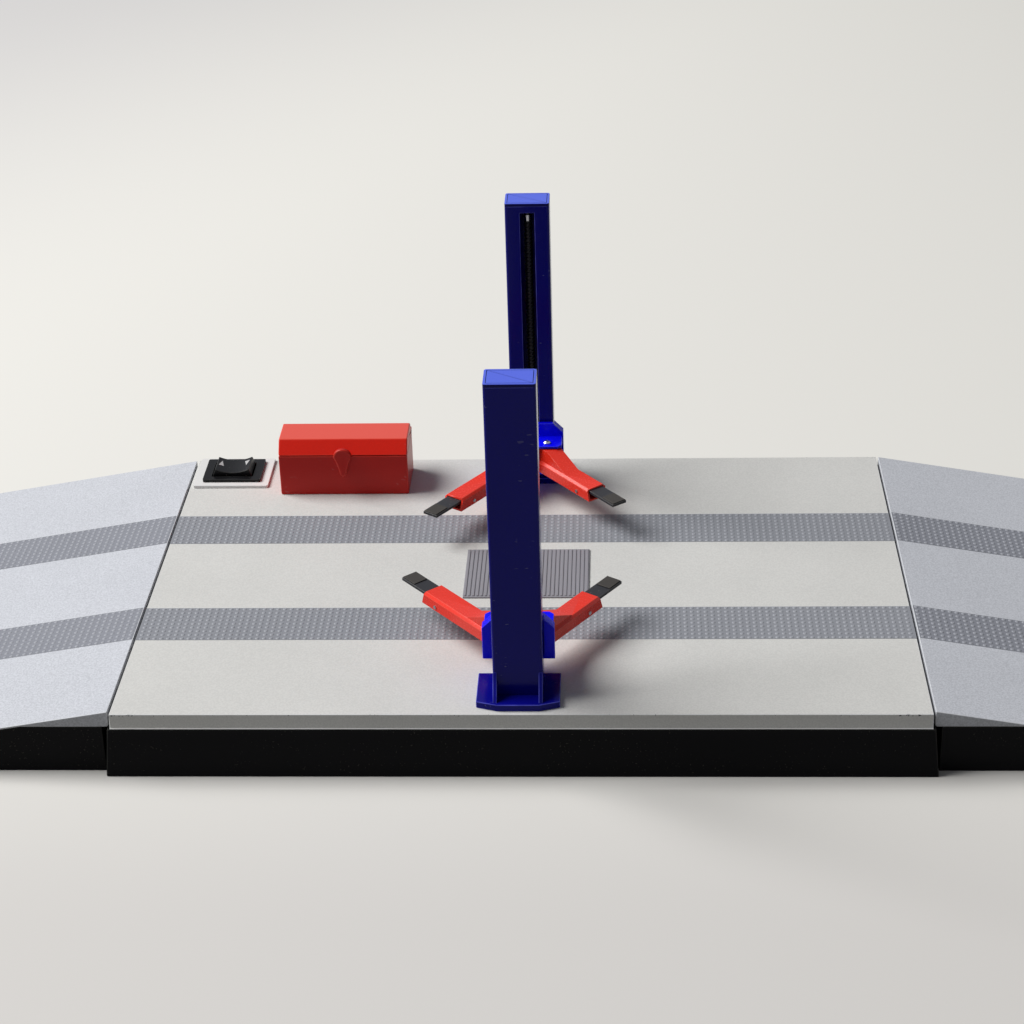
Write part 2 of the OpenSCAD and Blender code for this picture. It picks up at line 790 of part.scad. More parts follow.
module front_drive_pulley() {
  color(plinth_grey) at_post(false) translate([0, 0, pulley_z]) {
    pulley();
    difference() {
      union() {
        translate([0, 0, pulley_h]) cylinder(r = 2 * bush_r, h = gear_z - pulley_z - pulley_h);
        translate([0, 0, gear_z - pulley_z])
          linear_extrude(gear_face) polygon(gear_outline(gear_teeth, gear_r));
      }
      translate([0, 0, pulley_h - over]) cylinder(r = journal_r + fit / 2, h = 2 * gear_face + 2 * over);
    }
  }
}

module rear_pulley() {
  color(plinth_grey) at_post(true) translate([0, 0, pulley_z]) pulley();
}

// Plan of the belt's loop at a given radius round the pulleys
module belt_plan(r) {
  square([2 * r, 2 * post_y], center = true);
  for (sy = [-1, 1]) translate([0, sy * post_y]) circle(r = r);
}

module timing_belt() {
  inside = pulley_r + slide_gap;
  color(tub_black) translate([0, 0, pulley_z + flange_t + slide_gap])
    linear_extrude(belt_w) difference() {
      belt_plan(inside + belt_t);
      belt_plan(inside);
    }
}

module lead_screw(rear) {
  plug_z = deck_h + column_h - cap_plug;
  color(steel) at_post(rear) {
    translate([0, 0, journal_z]) cylinder(r = journal_r, h = plug_z + bush_h - pulley_gap - journal_z);
    translate([0, 0, thread_z]) cylinder(r = screw_r, h = plug_z - pulley_gap - thread_z);
  }
}

// Bush of a lead screw's end
module bush() {
  difference() {
    cylinder(r = bush_r, h = bush_h);
    translate([0, 0, -over]) cylinder(r = journal_r + fit, h = bush_h + 2 * over);
  }
}

module screw_bushes() {
  color(brass)
    for (rear = [false, true])
      at_post(rear) {
        translate([0, 0, bush_seat_z]) bush();
        translate([0, 0, deck_h + column_h - cap_plug]) bush();
      }
}

// Direction of a route at one of its points
function route_way(route, i) =
  let (
    before = route[max(i - 1, 0)] - route[max(i - 1, 0) + 1],
    after = route[min(i, len(route) - 2)] - route[min(i, len(route) - 2) + 1]
  )
  -(before / norm(before) + after / norm(after));

// Ring of points round a route at one of its points
function route_ring(route, i) =
  let (
    way = route_way(route, i) / norm(route_way(route, i)),
    side = cross(way, wire_reference) / norm(cross(way, wire_reference)),
    up = cross(side, way)
  )
  [for (k = [0 : wire_sides - 1])
    route[i] + wire_r * (cos(360 * k / wire_sides) * side + sin(360 * k / wire_sides) * up)];

// Tube along a route
module wire(route) {
  rings = len(route);
  points = [for (i = [0 : rings - 1]) each route_ring(route, i)];
  walls = [for (i = [0 : rings - 2])
    for (k = [0 : wire_sides - 1])
      let (a = i * wire_sides + k, b = i * wire_sides + (k + 1) % wire_sides)
      each [[a, b, a + wire_sides], [b, b + wire_sides, a + wire_sides]]];
  near_end = [for (k = [wire_sides - 1 : -1 : 0]) k];
  far_end = [for (k = [0 : wire_sides - 1]) (rings - 1) * wire_sides + k];
  polyhedron(points = points, faces = concat(walls, [near_end], [far_end]));
}

module wiring() {
  color(wire_red)
    for (route = [switch_route, motor_route, battery_route]) wire(route);
}

module post(rear) {
  color(navy) at_post(rear) translate([0, 0, deck_h]) difference() {
    rounded_block(post_w, post_d, column_h, post_r);
    translate([0, 0, -over]) block(post_w - 2 * post_wall, post_d - 2 * post_wall, column_h + 2 * over);
    translate([-slot_w / 2, 0, slot_low]) cube([slot_w, post_d, slot_high - slot_low]);
  }
}

module post_cap(rear) {
  plug_x = post_w - 2 * post_wall - 2 * plug_fit;
  plug_y = post_d - 2 * post_wall - 2 * plug_fit;
  color(navy) at_post(rear) translate([0, 0, deck_h + column_h]) difference() {
    union() {
      rounded_block(post_w, post_d, cap_t, post_r);
      translate([0, 0, -cap_plug]) block(plug_x, plug_y, cap_plug);
    }
    translate([0, 0, -cap_plug - over]) cylinder(r = bush_r + bush_fit, h = bush_h + over);
  }
}

module foot(rear) {
  inner = post_d / 2 + foot_in;
  outer = -post_d / 2 - foot_out;
  half = foot_w / 2;
  hole = 2 * plug_fit;
  color(navy) at_post(rear) translate([0, 0, deck_h]) {
    difference() {
      linear_extrude(foot_t) polygon([
        [-half, inner], [-half, outer + foot_taper_d], [-half + foot_taper, outer],
        [half - foot_taper, outer], [half, outer + foot_taper_d], [half, inner]
      ]);
      translate([0, 0, -over]) block(post_w + hole, post_d + hole, foot_t + 2 * over);
      at_foot_screws() translate([0, 0, -over]) cylinder(r = fixing_r + fit, h = foot_t / 2 + fit + over);
    }
    for (sx = [-1, 1])
      translate([sx * (post_w - gusset_t) / 2, 0, 0])
        end_profile([
          [-post_d / 2 - plug_fit, foot_t], [-post_d / 2 - gusset_len, foot_t],
          [-post_d / 2 - plug_fit, gusset_h]
        ], gusset_t);
  }
}

// Plan of a shelf, from the face plate to its inner edge
module shelf(thickness) {
  linear_extrude(thickness) difference() {
    polygon([
      [-shelf_half, carriage_y0], [shelf_half, carriage_y0],
      [shelf_half, shelf_y1 - shelf_chamfer], [shelf_half - shelf_chamfer, shelf_y1],
      [-shelf_half + shelf_chamfer, shelf_y1], [-shelf_half, shelf_y1 - shelf_chamfer]
    ]);
    for (sx = [-1, 1]) translate([sx * pivot_x, pivot_y]) circle(r = pivot_r + fit);
  }
}

module carriage(rear) {
  half = carriage_w / 2;
  side_top = carriage_h - carriage_chamfer;
  color(lift_blue) at_post(rear) translate([0, 0, deck_h + carriage_rest]) {
    difference() {
      translate([0, (cheek_y0 + carriage_y1) / 2, 0]) side_profile([
        [-half, 0], [half, 0], [half, side_top], [half - carriage_chamfer, carriage_h],
        [-half + carriage_chamfer, carriage_h], [-half, side_top]
      ], carriage_y1 - cheek_y0);
      translate([0, carriage_y0 - post_d, -over]) block(2 * cheek_x0, 2 * post_d, carriage_h + 2 * over);
      translate([0, carriage_y0 - post_d, -over]) block(carriage_w + over, 2 * post_d, cheek_rise + over);
    }
    shelf(low_shelf_t);
    translate([0, 0, top_shelf_z - carriage_rest]) shelf(top_shelf_t);
    translate([-slot_w / 2 + tongue_fit, nut_y0, key_z0])
      cube([slot_w - 2 * tongue_fit, carriage_y0 - nut_y0 + carriage_t / 2, key_h]);
  }
}

module lift_nut(rear) {
  width = post_w - 2 * post_wall - 2 * slide_gap;
  back = -post_d / 2 + post_wall + slide_gap;
  color(brass) at_post(rear) translate([0, 0, deck_h + carriage_rest + nut_z0]) difference() {
    translate([-width / 2, back, 0]) cube([width, nut_y0 - back, nut_h]);
    translate([0, 0, -over]) cylinder(r = screw_r + fit, h = nut_h + 2 * over);
  }
}

// Pan head with a cross recess, standing on z = 0
module pan_head() {
  rim = pivot_head_h / 2;
  slot = pivot_head_r / 4;
  difference() {
    union() {
      cylinder(r = pivot_head_r, h = rim);
      translate([0, 0, rim]) cylinder(r1 = pivot_head_r, r2 = 0.6 * pivot_head_r, h = pivot_head_h - rim);
    }
    for (a = [0, 90])
      rotate([0, 0, a]) translate([0, 0, pivot_head_h - slot]) block(pivot_head_r, slot, over);
  }
}

module pivot_screws(rear) {
  head_z = top_shelf_z + top_shelf_t;
  color(steel) at_post(rear)
    for (sx = [-1, 1])
      translate([sx * pivot_x, pivot_y, deck_h]) {
        translate([0, 0, carriage_rest]) cylinder(r = pivot_r, h = head_z - carriage_rest);
        translate([0, 0, head_z]) pan_head();
      }
}

// Puts children, modelled along +X from the pivot, on one of the four arms
module at_arm(rear, left, angle) {
  at_post(rear)
    translate([left ? -pivot_x : pivot_x, pivot_y, deck_h + arm_z])
      rotate([0, 0, left ? 180 - angle : angle]) children();
}

module arm(length) {
  top_w = arm_w / 2 - arm_chamfer;
  side_h = arm_h - arm_chamfer;
  color(arm_red) difference() {
    union() {
      cylinder(r = arm_w / 2, h = side_h);
      translate([0, 0, side_h]) cylinder(r1 = arm_w / 2, r2 = top_w, h = arm_chamfer);
      intersection() {
        translate([length / 2 + over, 0, 0]) end_profile([
          [-arm_w / 2, 0], [arm_w / 2, 0], [arm_w / 2, side_h],
          [top_w, arm_h], [-top_w, arm_h], [-arm_w / 2, side_h]
        ], length + 2 * over);
        side_profile([
          [0, 0], [length + mouth_slant / 2, 0], [length - mouth_slant / 2, arm_h], [0, arm_h]
        ], 2 * arm_w);
      }
      cylinder(r = hump_w / 2, h = arm_h + hump_rise);
      side_profile([
        [0, side_h], [hump_len, side_h], [hump_len, arm_h],
        [hump_flat, arm_h + hump_rise], [0, arm_h + hump_rise]
      ], hump_w);
    }
    translate([0, 0, -over]) cylinder(r = pivot_r + fit, h = arm_h + hump_rise + 2 * over);
    translate([length - cavity_back, -cavity_w / 2, arm_skin])
      cube([cavity_back + mouth_slant + over, cavity_w, arm_h - 2 * arm_skin]);
    translate([length - stop_back, 0, stop_z]) rotate([90, 0, 0])
      cylinder(r = stop_r + fit / 2, h = 2 * arm_w, center = true);
  }
}

module stop_pin(length) {
  color(steel) translate([length - stop_back, 0, stop_z]) rotate([90, 0, 0])
    cylinder(r = stop_r, h = arm_w + 2 * stop_out, center = true);
}

module extension(length) {
  tail_low = arm_skin + ext_gap;
  color(ext_black) {
    translate([length - tail_end, -ext_w / 2, ext_low]) cube([tail_end + ext_out, ext_w, ext_t]);
    translate([length - tail_end, -ext_w / 2, tail_low]) cube([tail_len, ext_w, ext_low - tail_low]);
  }
}

module pad(length) {
  color(ext_black) translate([length + ext_out - pad_inset - pad_len, -pad_w / 2, ext_top])
    cube([pad_len, pad_w, pad_t]);
}

module switch_plinth() {
  color(plinth_grey) translate([switch_x, switch_y, deck_h]) difference() {
    rounded_block(plinth_len, plinth_depth, plinth_h, bezel_r);
    translate([0, 0, -over])
      block(switch_body_x + 2 * switch_fit, switch_body_y + 2 * switch_fit, plinth_h + 2 * over);
  }
}

module switch_housing() {
  well_x = rocker_len + 2 * rocker_gap;
  well_y = rocker_depth + 2 * rocker_gap;
  color(ext_black) translate([switch_x, switch_y, deck_h + plinth_h]) difference() {
    union() {
      rounded_block(bezel_len, bezel_depth, bezel_t, bezel_r);
      translate([0, 0, -switch_body_h]) block(switch_body_x, switch_body_y, switch_body_h);
      for (i = [-1 : 1])
        translate([i * terminal_pitch, 0, -switch_body_h - terminal_h])
          block(terminal_x, terminal_y, terminal_h);
    }
    translate([0, 0, bezel_t - rocker_well]) block(well_x, well_y, rocker_well + over);
    translate([0, 0, bezel_t - rocker_pivot_drop]) rotate([90, 0, 0])
      cylinder(r = rocker_pivot_r + fit, h = well_y + rocker_pivot_r, center = true);
  }
}

// Outline of the rocker in X and Z, with z = 0 at the bezel's top
function rocker_outline() = concat(
  [[-rocker_len / 2, 0], [-rocker_len / 4, -rocker_belly], [rocker_len / 4, -rocker_belly], [rocker_len / 2, 0]],
  [for (i = [0 : rocker_side_steps])
    let (
      share = 1 - 2 * i / rocker_side_steps,
      rise = rocker_end_h - rocker_mid_h
    )
    [share * rocker_top_share * rocker_len / 2, rocker_mid_h + rise * share * share]]
);

module switch_rocker() {
  color(ext_black) translate([switch_x, switch_y, switch_top]) {
    side_profile(rocker_outline(), rocker_depth);
    translate([0, 0, -rocker_pivot_drop]) rotate([90, 0, 0])
      cylinder(r = rocker_pivot_r, h = rocker_depth + 2 * rocker_gap + rocker_pivot_r / 2, center = true);
  }
}

// Places along X of the hinge's knuckles, as shares of the toolbox's width
module knuckle(from_share, to_share) {
  length = (to_share - from_share) * toolbox_w - 2 * lid_gap;
  translate([toolbox_x + (from_share - 0.5) * toolbox_w + lid_gap, hinge_y, hinge_z])
    rotate([0, 90, 0]) cylinder(r = barrel_r, h = length);
}

// Bore of the hinge through every knuckle
module hinge_bore() {
  translate([toolbox_x, hinge_y, hinge_z]) rotate([0, 90, 0])
    cylinder(r = hinge_r + fit, h = toolbox_w + 2 * over, center = true);
}

module toolbox_body() {
  mid_y = toolbox_y + toolbox_d / 2;
  color(box_red) difference() {
    union() {
      translate([toolbox_x, mid_y, deck_h]) block(toolbox_w, toolbox_d, toolbox_h - lid_gap);
      knuckle(0, knuckle_share);
      knuckle(1 - knuckle_share, 1);
    }
    translate([toolbox_x, mid_y, deck_h + toolbox_wall])
      block(toolbox_w - 2 * toolbox_wall, toolbox_d - 2 * toolbox_wall, toolbox_h);
    translate([toolbox_x, hinge_y, hinge_z - barrel_r - lid_gap])
      block((1 - 2 * knuckle_share) * toolbox_w, 2 * (barrel_r + lid_gap), 2 * (barrel_r + lid_gap));
    hinge_bore();
  }
}

// Solid of the lid, shrunk by an inset on every side but its open one
module lid_solid(inset) {
  front = toolbox_y + inset;
  back = toolbox_y + toolbox_d - inset;
  top = hinge_z + lid_h - inset;
  translate([toolbox_x, 0, 0]) end_profile([
    [front, hinge_z - (inset > 0 ? over : 0)], [back, hinge_z - (inset > 0 ? over : 0)],
    [back, hinge_z], [back - lid_lean, top], [front + lid_lean, top], [front, hinge_z]
  ], toolbox_w - 2 * inset);
}

module toolbox_lid() {
  color(box_red) difference() {
    union() {
      lid_solid(0);
      knuckle(knuckle_share, 1 - knuckle_share);
    }
    lid_solid(toolbox_wall);
    for (side = [-1, 1])
      translate([toolbox_x + side * (1 - knuckle_share) * toolbox_w / 2, hinge_y, hinge_z - barrel_r - lid_gap])
        block(knuckle_share * toolbox_w + 2 * lid_gap, 2 * (barrel_r + lid_gap), 2 * (barrel_r + lid_gap));
    hinge_bore();
  }
}

module toolbox_clasp() {
  head = [for (i = [0 : clasp_steps])
    let (a = 180 * i / clasp_steps)
    [clasp_w / 2 * cos(a), clasp_head_h * sin(a)]];
  outline = concat(head, [[-clasp_tail_w / 2, -clasp_tail], [clasp_tail_w / 2, -clasp_tail]]);
  color(box_red) translate([toolbox_x, toolbox_y - clasp_gap, hinge_z]) {
    translate([0, -clasp_t / 2, 0]) side_profile(outline, clasp_t);
    end_profile([
      [-clasp_t / 2, 0], [clasp_gap, 0],
      [clasp_gap + lid_lean * clasp_head_h / (2 * lid_h), clasp_head_h / 2], [-clasp_t / 2, clasp_head_h / 2]
    ], clasp_w / 2);
  }
}

module toolbox_hinge_pin() {
  color(steel) translate([toolbox_x, hinge_y, hinge_z]) rotate([0, 90, 0])
    cylinder(r = hinge_r, h = toolbox_w - 2 * lid_gap, center = true);
}

// Puts children, modelled as the right ramp, on the right or the left
module at_ramp(left) {
  if (left) mirror([1, 0, 0]) children();
  else children();
}

// Solid below the ramp's skin, shrunk by an inset on its top and its tip
module ramp_core(inset, depth) {
  side_profile([
    [base_x0 + inset, inset > 0 ? -over : 0], [base_x0 + inset, shoulder_h - inset],
    [shoulder_x, shoulder_h - inset],
    [lip_x - inset, max(ramp_z(lip_x - inset) - ramp_skin - inset, 0)],
    [lip_x - inset, inset > 0 ? -over : 0]
  ], depth);
}

module ramp_base(left) {
  cell = (ramp_depth - 2 * ramp_wall - ramp_ribs * ramp_rib_t) / (ramp_ribs + 1);
  color(tub_black) at_ramp(left) {
    difference() {
      ramp_core(0, ramp_depth);
      intersection() {
        ramp_core(ramp_wall, ramp_depth);
        for (i = [0 : ramp_ribs])
          translate([base_x0, -ramp_depth / 2 + ramp_wall + i * (cell + ramp_rib_t), -2 * over])
            cube([ramp_run, cell, deck_h + 2 * over]);
      }
    }
    for (sy = [-1, 1])
      translate([skirt_x - tongue_in, sy * tongue_y - tongue_w / 2, tongue_z])
        cube([base_x0 - skirt_x + tongue_in + ramp_wall, tongue_w, tongue_t]);
  }
}

// Slab of the ramp's tread inlays, from the surface down by a thickness
module ramp_inlays(thickness, rise, margin) {
  x0 = ramp_x0 + margin;
  x1 = ramp_x1 - margin;
  for (sy = [-1, 1])
    translate([0, sy * track / 2, 0]) side_profile([
      [x0, ramp_z(x0) - thickness], [x1, ramp_z(x1) - thickness],
      [x1, ramp_z(x1) + rise], [x0, ramp_z(x0) + rise]
    ], strip_w);
}

module ramp_deck(left) {
  color(ramp_grey) at_ramp(left) difference() {
    side_profile([
      [lap_x, shoulder_h], [shoulder_x, shoulder_h],
      [lip_x, ramp_z(lip_x) - ramp_skin], [lip_x, 0], [ramp_x1, 0],
      [ramp_x1, ramp_tip], [ramp_x0, ramp_top], [ramp_x0, lap_z], [lap_x, lap_z]
    ], ramp_depth);
    ramp_inlays(inlay_t, over, inlay_margin);
  }
}

module ramp_treads(left) {
  color(tread_grey) at_ramp(left) ramp_inlays(inlay_t, 0, inlay_margin);
}

base_tub();
deck_plate();
deck_tread_strips();
centre_plate();
deck_screws();
battery_case();
battery_cells();
battery_door();
motor();
motor_pinion();
front_drive_pulley();
rear_pulley();
timing_belt();
lead_screw(false);  // front_lead_screw
lead_screw(true);  // rear_lead_screw
screw_bushes();
wiring();
post(false);  // front_post
post(true);  // rear_post
post_cap(false);  // front_post_cap
post_cap(true);  // rear_post_cap
foot(false);  // front_foot
foot(true);  // rear_foot
foot_screws();
carriage(false);  // front_carriage
carriage(true);  // rear_carriage
lift_nut(false);  // front_lift_nut
lift_nut(true);  // rear_lift_nut
pivot_screws(false);  // front_pivot_screws
pivot_screws(true);  // rear_pivot_screws
at_arm(false, true, front_left_angle) arm(left_arm_len);  // front_left_arm
at_arm(false, false, front_right_angle) arm(right_arm_len);  // front_right_arm
at_arm(true, true, rear_left_angle) arm(left_arm_len);  // rear_left_arm
at_arm(true, false, rear_right_angle) arm(right_arm_len);  // rear_right_arm
at_arm(false, true, front_left_angle) extension(left_arm_len);  // front_left_extension
at_arm(false, false, front_right_angle) extension(right_arm_len);  // front_right_extension
at_arm(true, true, rear_left_angle) extension(left_arm_len);  // rear_left_extension
at_arm(true, false, rear_right_angle) extension(right_arm_len);  // rear_right_extension
at_arm(false, true, front_left_angle) pad(left_arm_len);  // front_left_pad
at_arm(false, false, front_right_angle) pad(right_arm_len);  // front_right_pad
at_arm(true, true, rear_left_angle) pad(left_arm_len);  // rear_left_pad
at_arm(true, false, rear_right_angle) pad(right_arm_len);  // rear_right_pad
at_arm(false, true, front_left_angle) stop_pin(left_arm_len);  // front_left_stop_pin
at_arm(false, false, front_right_angle) stop_pin(right_arm_len);  // front_right_stop_pin
at_arm(true, true, rear_left_angle) stop_pin(left_arm_len);  // rear_left_stop_pin
at_arm(true, false, rear_right_angle) stop_pin(right_arm_len);  // rear_right_stop_pin
switch_plinth();
switch_housing();
switch_rocker();
toolbox_body();
toolbox_lid();
toolbox_clasp();
toolbox_hinge_pin();
ramp_base(true);  // left_ramp_base
ramp_deck(true);  // left_ramp_deck
ramp_treads(true);  // left_ramp_treads
ramp_base(false);  // right_ramp_base
ramp_deck(false);  // right_ramp_deck
ramp_treads(false);  // right_ramp_treads
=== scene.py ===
"""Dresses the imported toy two-post car lift and lights it for the photograph's view."""

from __future__ import annotations

import functools
import json
import logging
import math
from dataclasses import dataclass
from enum import Enum
from typing import Any, Iterable, Sequence

import bmesh
import bpy
from mathutils import Matrix, Vector

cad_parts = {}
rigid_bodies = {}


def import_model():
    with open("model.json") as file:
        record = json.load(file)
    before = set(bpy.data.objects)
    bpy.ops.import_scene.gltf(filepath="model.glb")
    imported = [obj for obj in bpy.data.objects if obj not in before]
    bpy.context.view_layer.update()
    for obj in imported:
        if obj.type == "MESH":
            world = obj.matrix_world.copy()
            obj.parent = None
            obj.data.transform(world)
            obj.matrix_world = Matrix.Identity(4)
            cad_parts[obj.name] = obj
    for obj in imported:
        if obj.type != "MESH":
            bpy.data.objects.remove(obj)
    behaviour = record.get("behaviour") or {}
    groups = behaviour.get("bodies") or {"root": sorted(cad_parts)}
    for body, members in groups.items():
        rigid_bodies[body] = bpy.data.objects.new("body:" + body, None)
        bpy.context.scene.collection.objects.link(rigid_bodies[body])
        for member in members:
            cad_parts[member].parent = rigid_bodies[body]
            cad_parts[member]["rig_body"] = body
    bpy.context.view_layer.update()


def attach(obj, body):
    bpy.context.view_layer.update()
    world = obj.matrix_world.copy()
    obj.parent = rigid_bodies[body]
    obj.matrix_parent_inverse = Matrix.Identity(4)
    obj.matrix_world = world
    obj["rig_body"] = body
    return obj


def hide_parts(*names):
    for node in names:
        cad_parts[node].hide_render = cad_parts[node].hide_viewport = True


LOG = logging.getLogger("car_lift")
MM = 0.001
Colour = tuple[float, float, float, float]
Place = tuple[float, float, float]
EDGE_LAYER = "edge"
MERGE_DISTANCE = 2e-6
FLAT_ANGLE = math.radians(0.8)
SHARP_ANGLE = math.radians(30.0)
GLOSS_SWING = 0.12
# Size of the patches in which the painted edge highlight is stronger.
HIGHLIGHT_PATCH = 9 * MM
DUST_PATCH = 22 * MM
SCRATCH_PATCH = 14 * MM
SCRATCH_WIDTH = 0.5 * MM
SCRATCH_STRETCH: Place = (0.12, 1.0, 0.3)
SCRATCH_COLOUR: Colour = (0.6, 0.6, 0.62, 1.0)


def srgb(red: int, green: int, blue: int) -> Colour:
    """Turns a screen colour into the linear colour that shaders take.

    Args:
        red: Red from 0 to 255.
        green: Green from 0 to 255.
        blue: Blue from 0 to 255.

    Returns:
        The linear colour with an alpha of 1.
    """
    parts = [c / 255 for c in (red, green, blue)]
    linear = [c / 12.92 if c <= 0.04045 else ((c + 0.055) / 1.055) ** 2.4 for c in parts]
    return (linear[0], linear[1], linear[2], 1.0)


class Signal:
    """A node's output socket that takes part in Python expressions."""

    def __init__(self, graph: "Graph", socket: Any) -> None:
        """Wraps a socket of a graph."""
        self.graph = graph
        self.socket = socket

    def _maths(self, operation: str, first: Any, second: Any) -> "Signal":
        """Adds one Math node on two values."""
        return self.graph.signal("ShaderNodeMath", {"operation": operation}, {0: first, 1: second})

    def __add__(self, other: Any) -> "Signal":
        """Sum."""
        return self._maths("ADD", self, other)

    __radd__ = __add__

    def __sub__(self, other: Any) -> "Signal":
        """Difference."""
        return self._maths("SUBTRACT", self, other)

    def __rsub__(self, other: Any) -> "Signal":
        """Difference from a number."""
        return self._maths("SUBTRACT", other, self)

    def __mul__(self, other: Any) -> "Signal":
        """Product."""
        return self._maths("MULTIPLY", self, other)

    def __abs__(self) -> "Signal":
        """Absolute value."""
        return self._maths("ABSOLUTE", self, 0.0)

    def above(self, edge: float, width: float) -> "Signal":
        """Mask that rises smoothly from 0 to 1.

        Args:
            edge: Value at the middle of the rise.
            width: Width of the rise.

        Returns:
            The mask.
        """
        inputs = {"Value": self, "From Min": edge - width / 2, "From Max": edge + width / 2}
        return self.graph.signal("ShaderNodeMapRange", {"interpolation_type": "SMOOTHSTEP"}, inputs)

    def below(self, edge: float, width: float) -> "Signal":
        """Mask that falls smoothly from 1 to 0."""
        return 1.0 - self.above(edge, width)


class Graph:
    """The node tree of one material."""

    def __init__(self, tree: Any) -> None:
        """Empties a node tree and keeps it."""
        self.tree = tree
        tree.nodes.clear()

    def node(self, kind: str, settings: dict[str, Any] | None = None, inputs: dict[Any, Any] | None = None) -> Any:
        """Adds a node.

        Args:
            kind: The node's type.
            settings: Its attributes, set first.
            inputs: Values or signals for its sockets, by name or number.

        Returns:
            The node.
        """
        made = self.tree.nodes.new(kind)
        for name, value in (settings or {}).items():
            setattr(made, name, value)
        for key, value in (inputs or {}).items():
            if isinstance(value, Signal):
                self.tree.links.new(value.socket, made.inputs[key])
            else:
                made.inputs[key].default_value = value
        return made

    def signal(
        self, kind: str, settings: dict[str, Any] | None = None, inputs: dict[Any, Any] | None = None, output: Any = 0
    ) -> Signal:
        """Adds a node and wraps one of its outputs."""
        return Signal(self, self.node(kind, settings, inputs).outputs[output])

    def place(self) -> Signal:
        """Point on the object, in metres."""
        return self.signal("ShaderNodeTexCoord", output="Object")

    def axis(self, place: Signal, name: str) -> Signal:
        """One coordinate of a point."""
        return self.signal("ShaderNodeSeparateXYZ", {}, {0: place}, name)

    def stretched(self, place: Signal, scale: Place) -> Signal:
        """Point with its coordinates scaled one by one."""
        return self.signal("ShaderNodeMapping", {}, {"Vector": place, "Scale": scale})

    def noise(self, place: Signal, size: float, detail: float = 2.0, rough: float = 0.5) -> Signal:
        """Noise about 0.5 whose blobs have a size in metres."""
        inputs = {"Vector": place, "Scale": 1 / size, "Detail": detail, "Roughness": rough}
        return self.signal("ShaderNodeTexNoise", {}, inputs)

    def blend(self, share: Any, first: Any, second: Any, how: str = "MIX") -> Signal:
        """Mixes two colours by a share."""
        settings = {"data_type": "RGBA", "blend_type": how}
        return self.signal("ShaderNodeMix", settings, {0: share, 6: first, 7: second}, 2)

    def edge(self) -> Signal:
        """Mask of the faces that round an edge."""
        return self.signal("ShaderNodeAttribute", {"attribute_name": EDGE_LAYER}, output="Fac")


def tinted(colour: Colour, share: float) -> Colour:
    """Colour made lighter or darker by a factor."""
    return (colour[0] * share, colour[1] * share, colour[2] * share, 1.0)


@dataclass(frozen=True)
class Finish:
    """A moulded plastic: its colour, gloss, grain, dust and wear, and a painted highlight on the faces that round its
    edges.
    """

    name: str
    colour: Colour
    roughness: float = 0.3
    grain: float = 0.6 * MM
    relief: float = 0.004 * MM
    mottle: float = 0.03
    pebble: float = 0.03
    cloud: float = 0.04
    speckle: float = 0.0
    speck_colour: Colour = (0.5, 0.5, 0.5, 1.0)
    speck_size: float = 0.9 * MM
    scratches: float = 0.0
    metallic: float = 0.0
    specular: float = 0.25
    # Painted highlight on the faces that round edges: how strong it is, and its colour.
    edge_highlight_share: float = 0.0
    edge_highlight_colour: Colour = (0.5, 0.5, 0.5, 1.0)

    def tone(self, graph: Graph, place: Signal, grain: Signal) -> Signal:
        """Colour over the surface, before dust.

        Args:
            graph: The material's graph.
            place: Point on the object.
            grain: The grain's noise.

        Returns:
            The colour.
        """
        cloud = graph.noise(place, self.cloud, 3.0).above(0.5, 0.5)
        broad = cloud * (2 * self.mottle) + (1 - self.mottle)
        fine = grain.above(0.5, 0.3) * (2 * self.pebble) + (1 - self.pebble)
        return graph.blend(1.0, self.colour, broad * fine, "MULTIPLY")

    def height(self, graph: Graph, place: Signal, grain: Signal) -> Signal:
        """Height of the relief, from 0 to about 1."""
        return grain

    @functools.cache
    def material(self) -> Any:
        """Makes the material once."""
        made = bpy.data.materials.new(self.name)
        made.use_nodes = True
        graph = Graph(made.node_tree)
        place = graph.place()
        grain = graph.noise(place, self.grain)
        colour = self.tone(graph, place, grain)
        gloss = self.roughness + (grain - 0.5) * GLOSS_SWING
        # Painted highlight: the faces that round edges take a lighter colour, stronger in patches.
        if self.edge_highlight_share:
            wear_and_highlight_patch = graph.noise(place, HIGHLIGHT_PATCH, 3.0).above(0.47, 0.35) * 0.6 + 0.4
            colour = graph.blend(graph.edge() * wear_and_highlight_patch * self.edge_highlight_share, colour, self.edge_highlight_colour)
        if self.scratches:
            streaks = graph.noise(graph.stretched(place, SCRATCH_STRETCH), SCRATCH_WIDTH, 1.0)
            wear_and_highlight_patch = graph.noise(place, SCRATCH_PATCH, 2.0).above(0.55, 0.1)
            mark = streaks.above(0.72, 0.06) * wear_and_highlight_patch * self.scratches
            colour = graph.blend(mark * 0.35, colour, SCRATCH_COLOUR)
            gloss = gloss + mark * 0.3
        if self.speckle:
            dots = graph.noise(place, self.speck_size, 0.0)
            drift = graph.noise(place, DUST_PATCH, 1.0).above(0.5, 0.3)
            dust = dots.above(0.86 - 0.14 * self.speckle, 0.04) * drift
            colour = graph.blend(dust * 0.8, colour, self.speck_colour)
            gloss = gloss + dust * 0.3
        bump = graph.signal(
            "ShaderNodeBump", {}, {"Strength": 1.0, "Distance": self.relief, "Height": self.height(graph, place, grain)}
        )
        shader = graph.signal(
            "ShaderNodeBsdfPrincipled",
            {},
            {
                "Base Color": colour,
                "Roughness": gloss,
                "Metallic": self.metallic,
                "Specular IOR Level": self.specular,
                "Normal": bump,
            },
        )
        graph.node("ShaderNodeOutputMaterial", {}, {"Surface": shader})
        return made


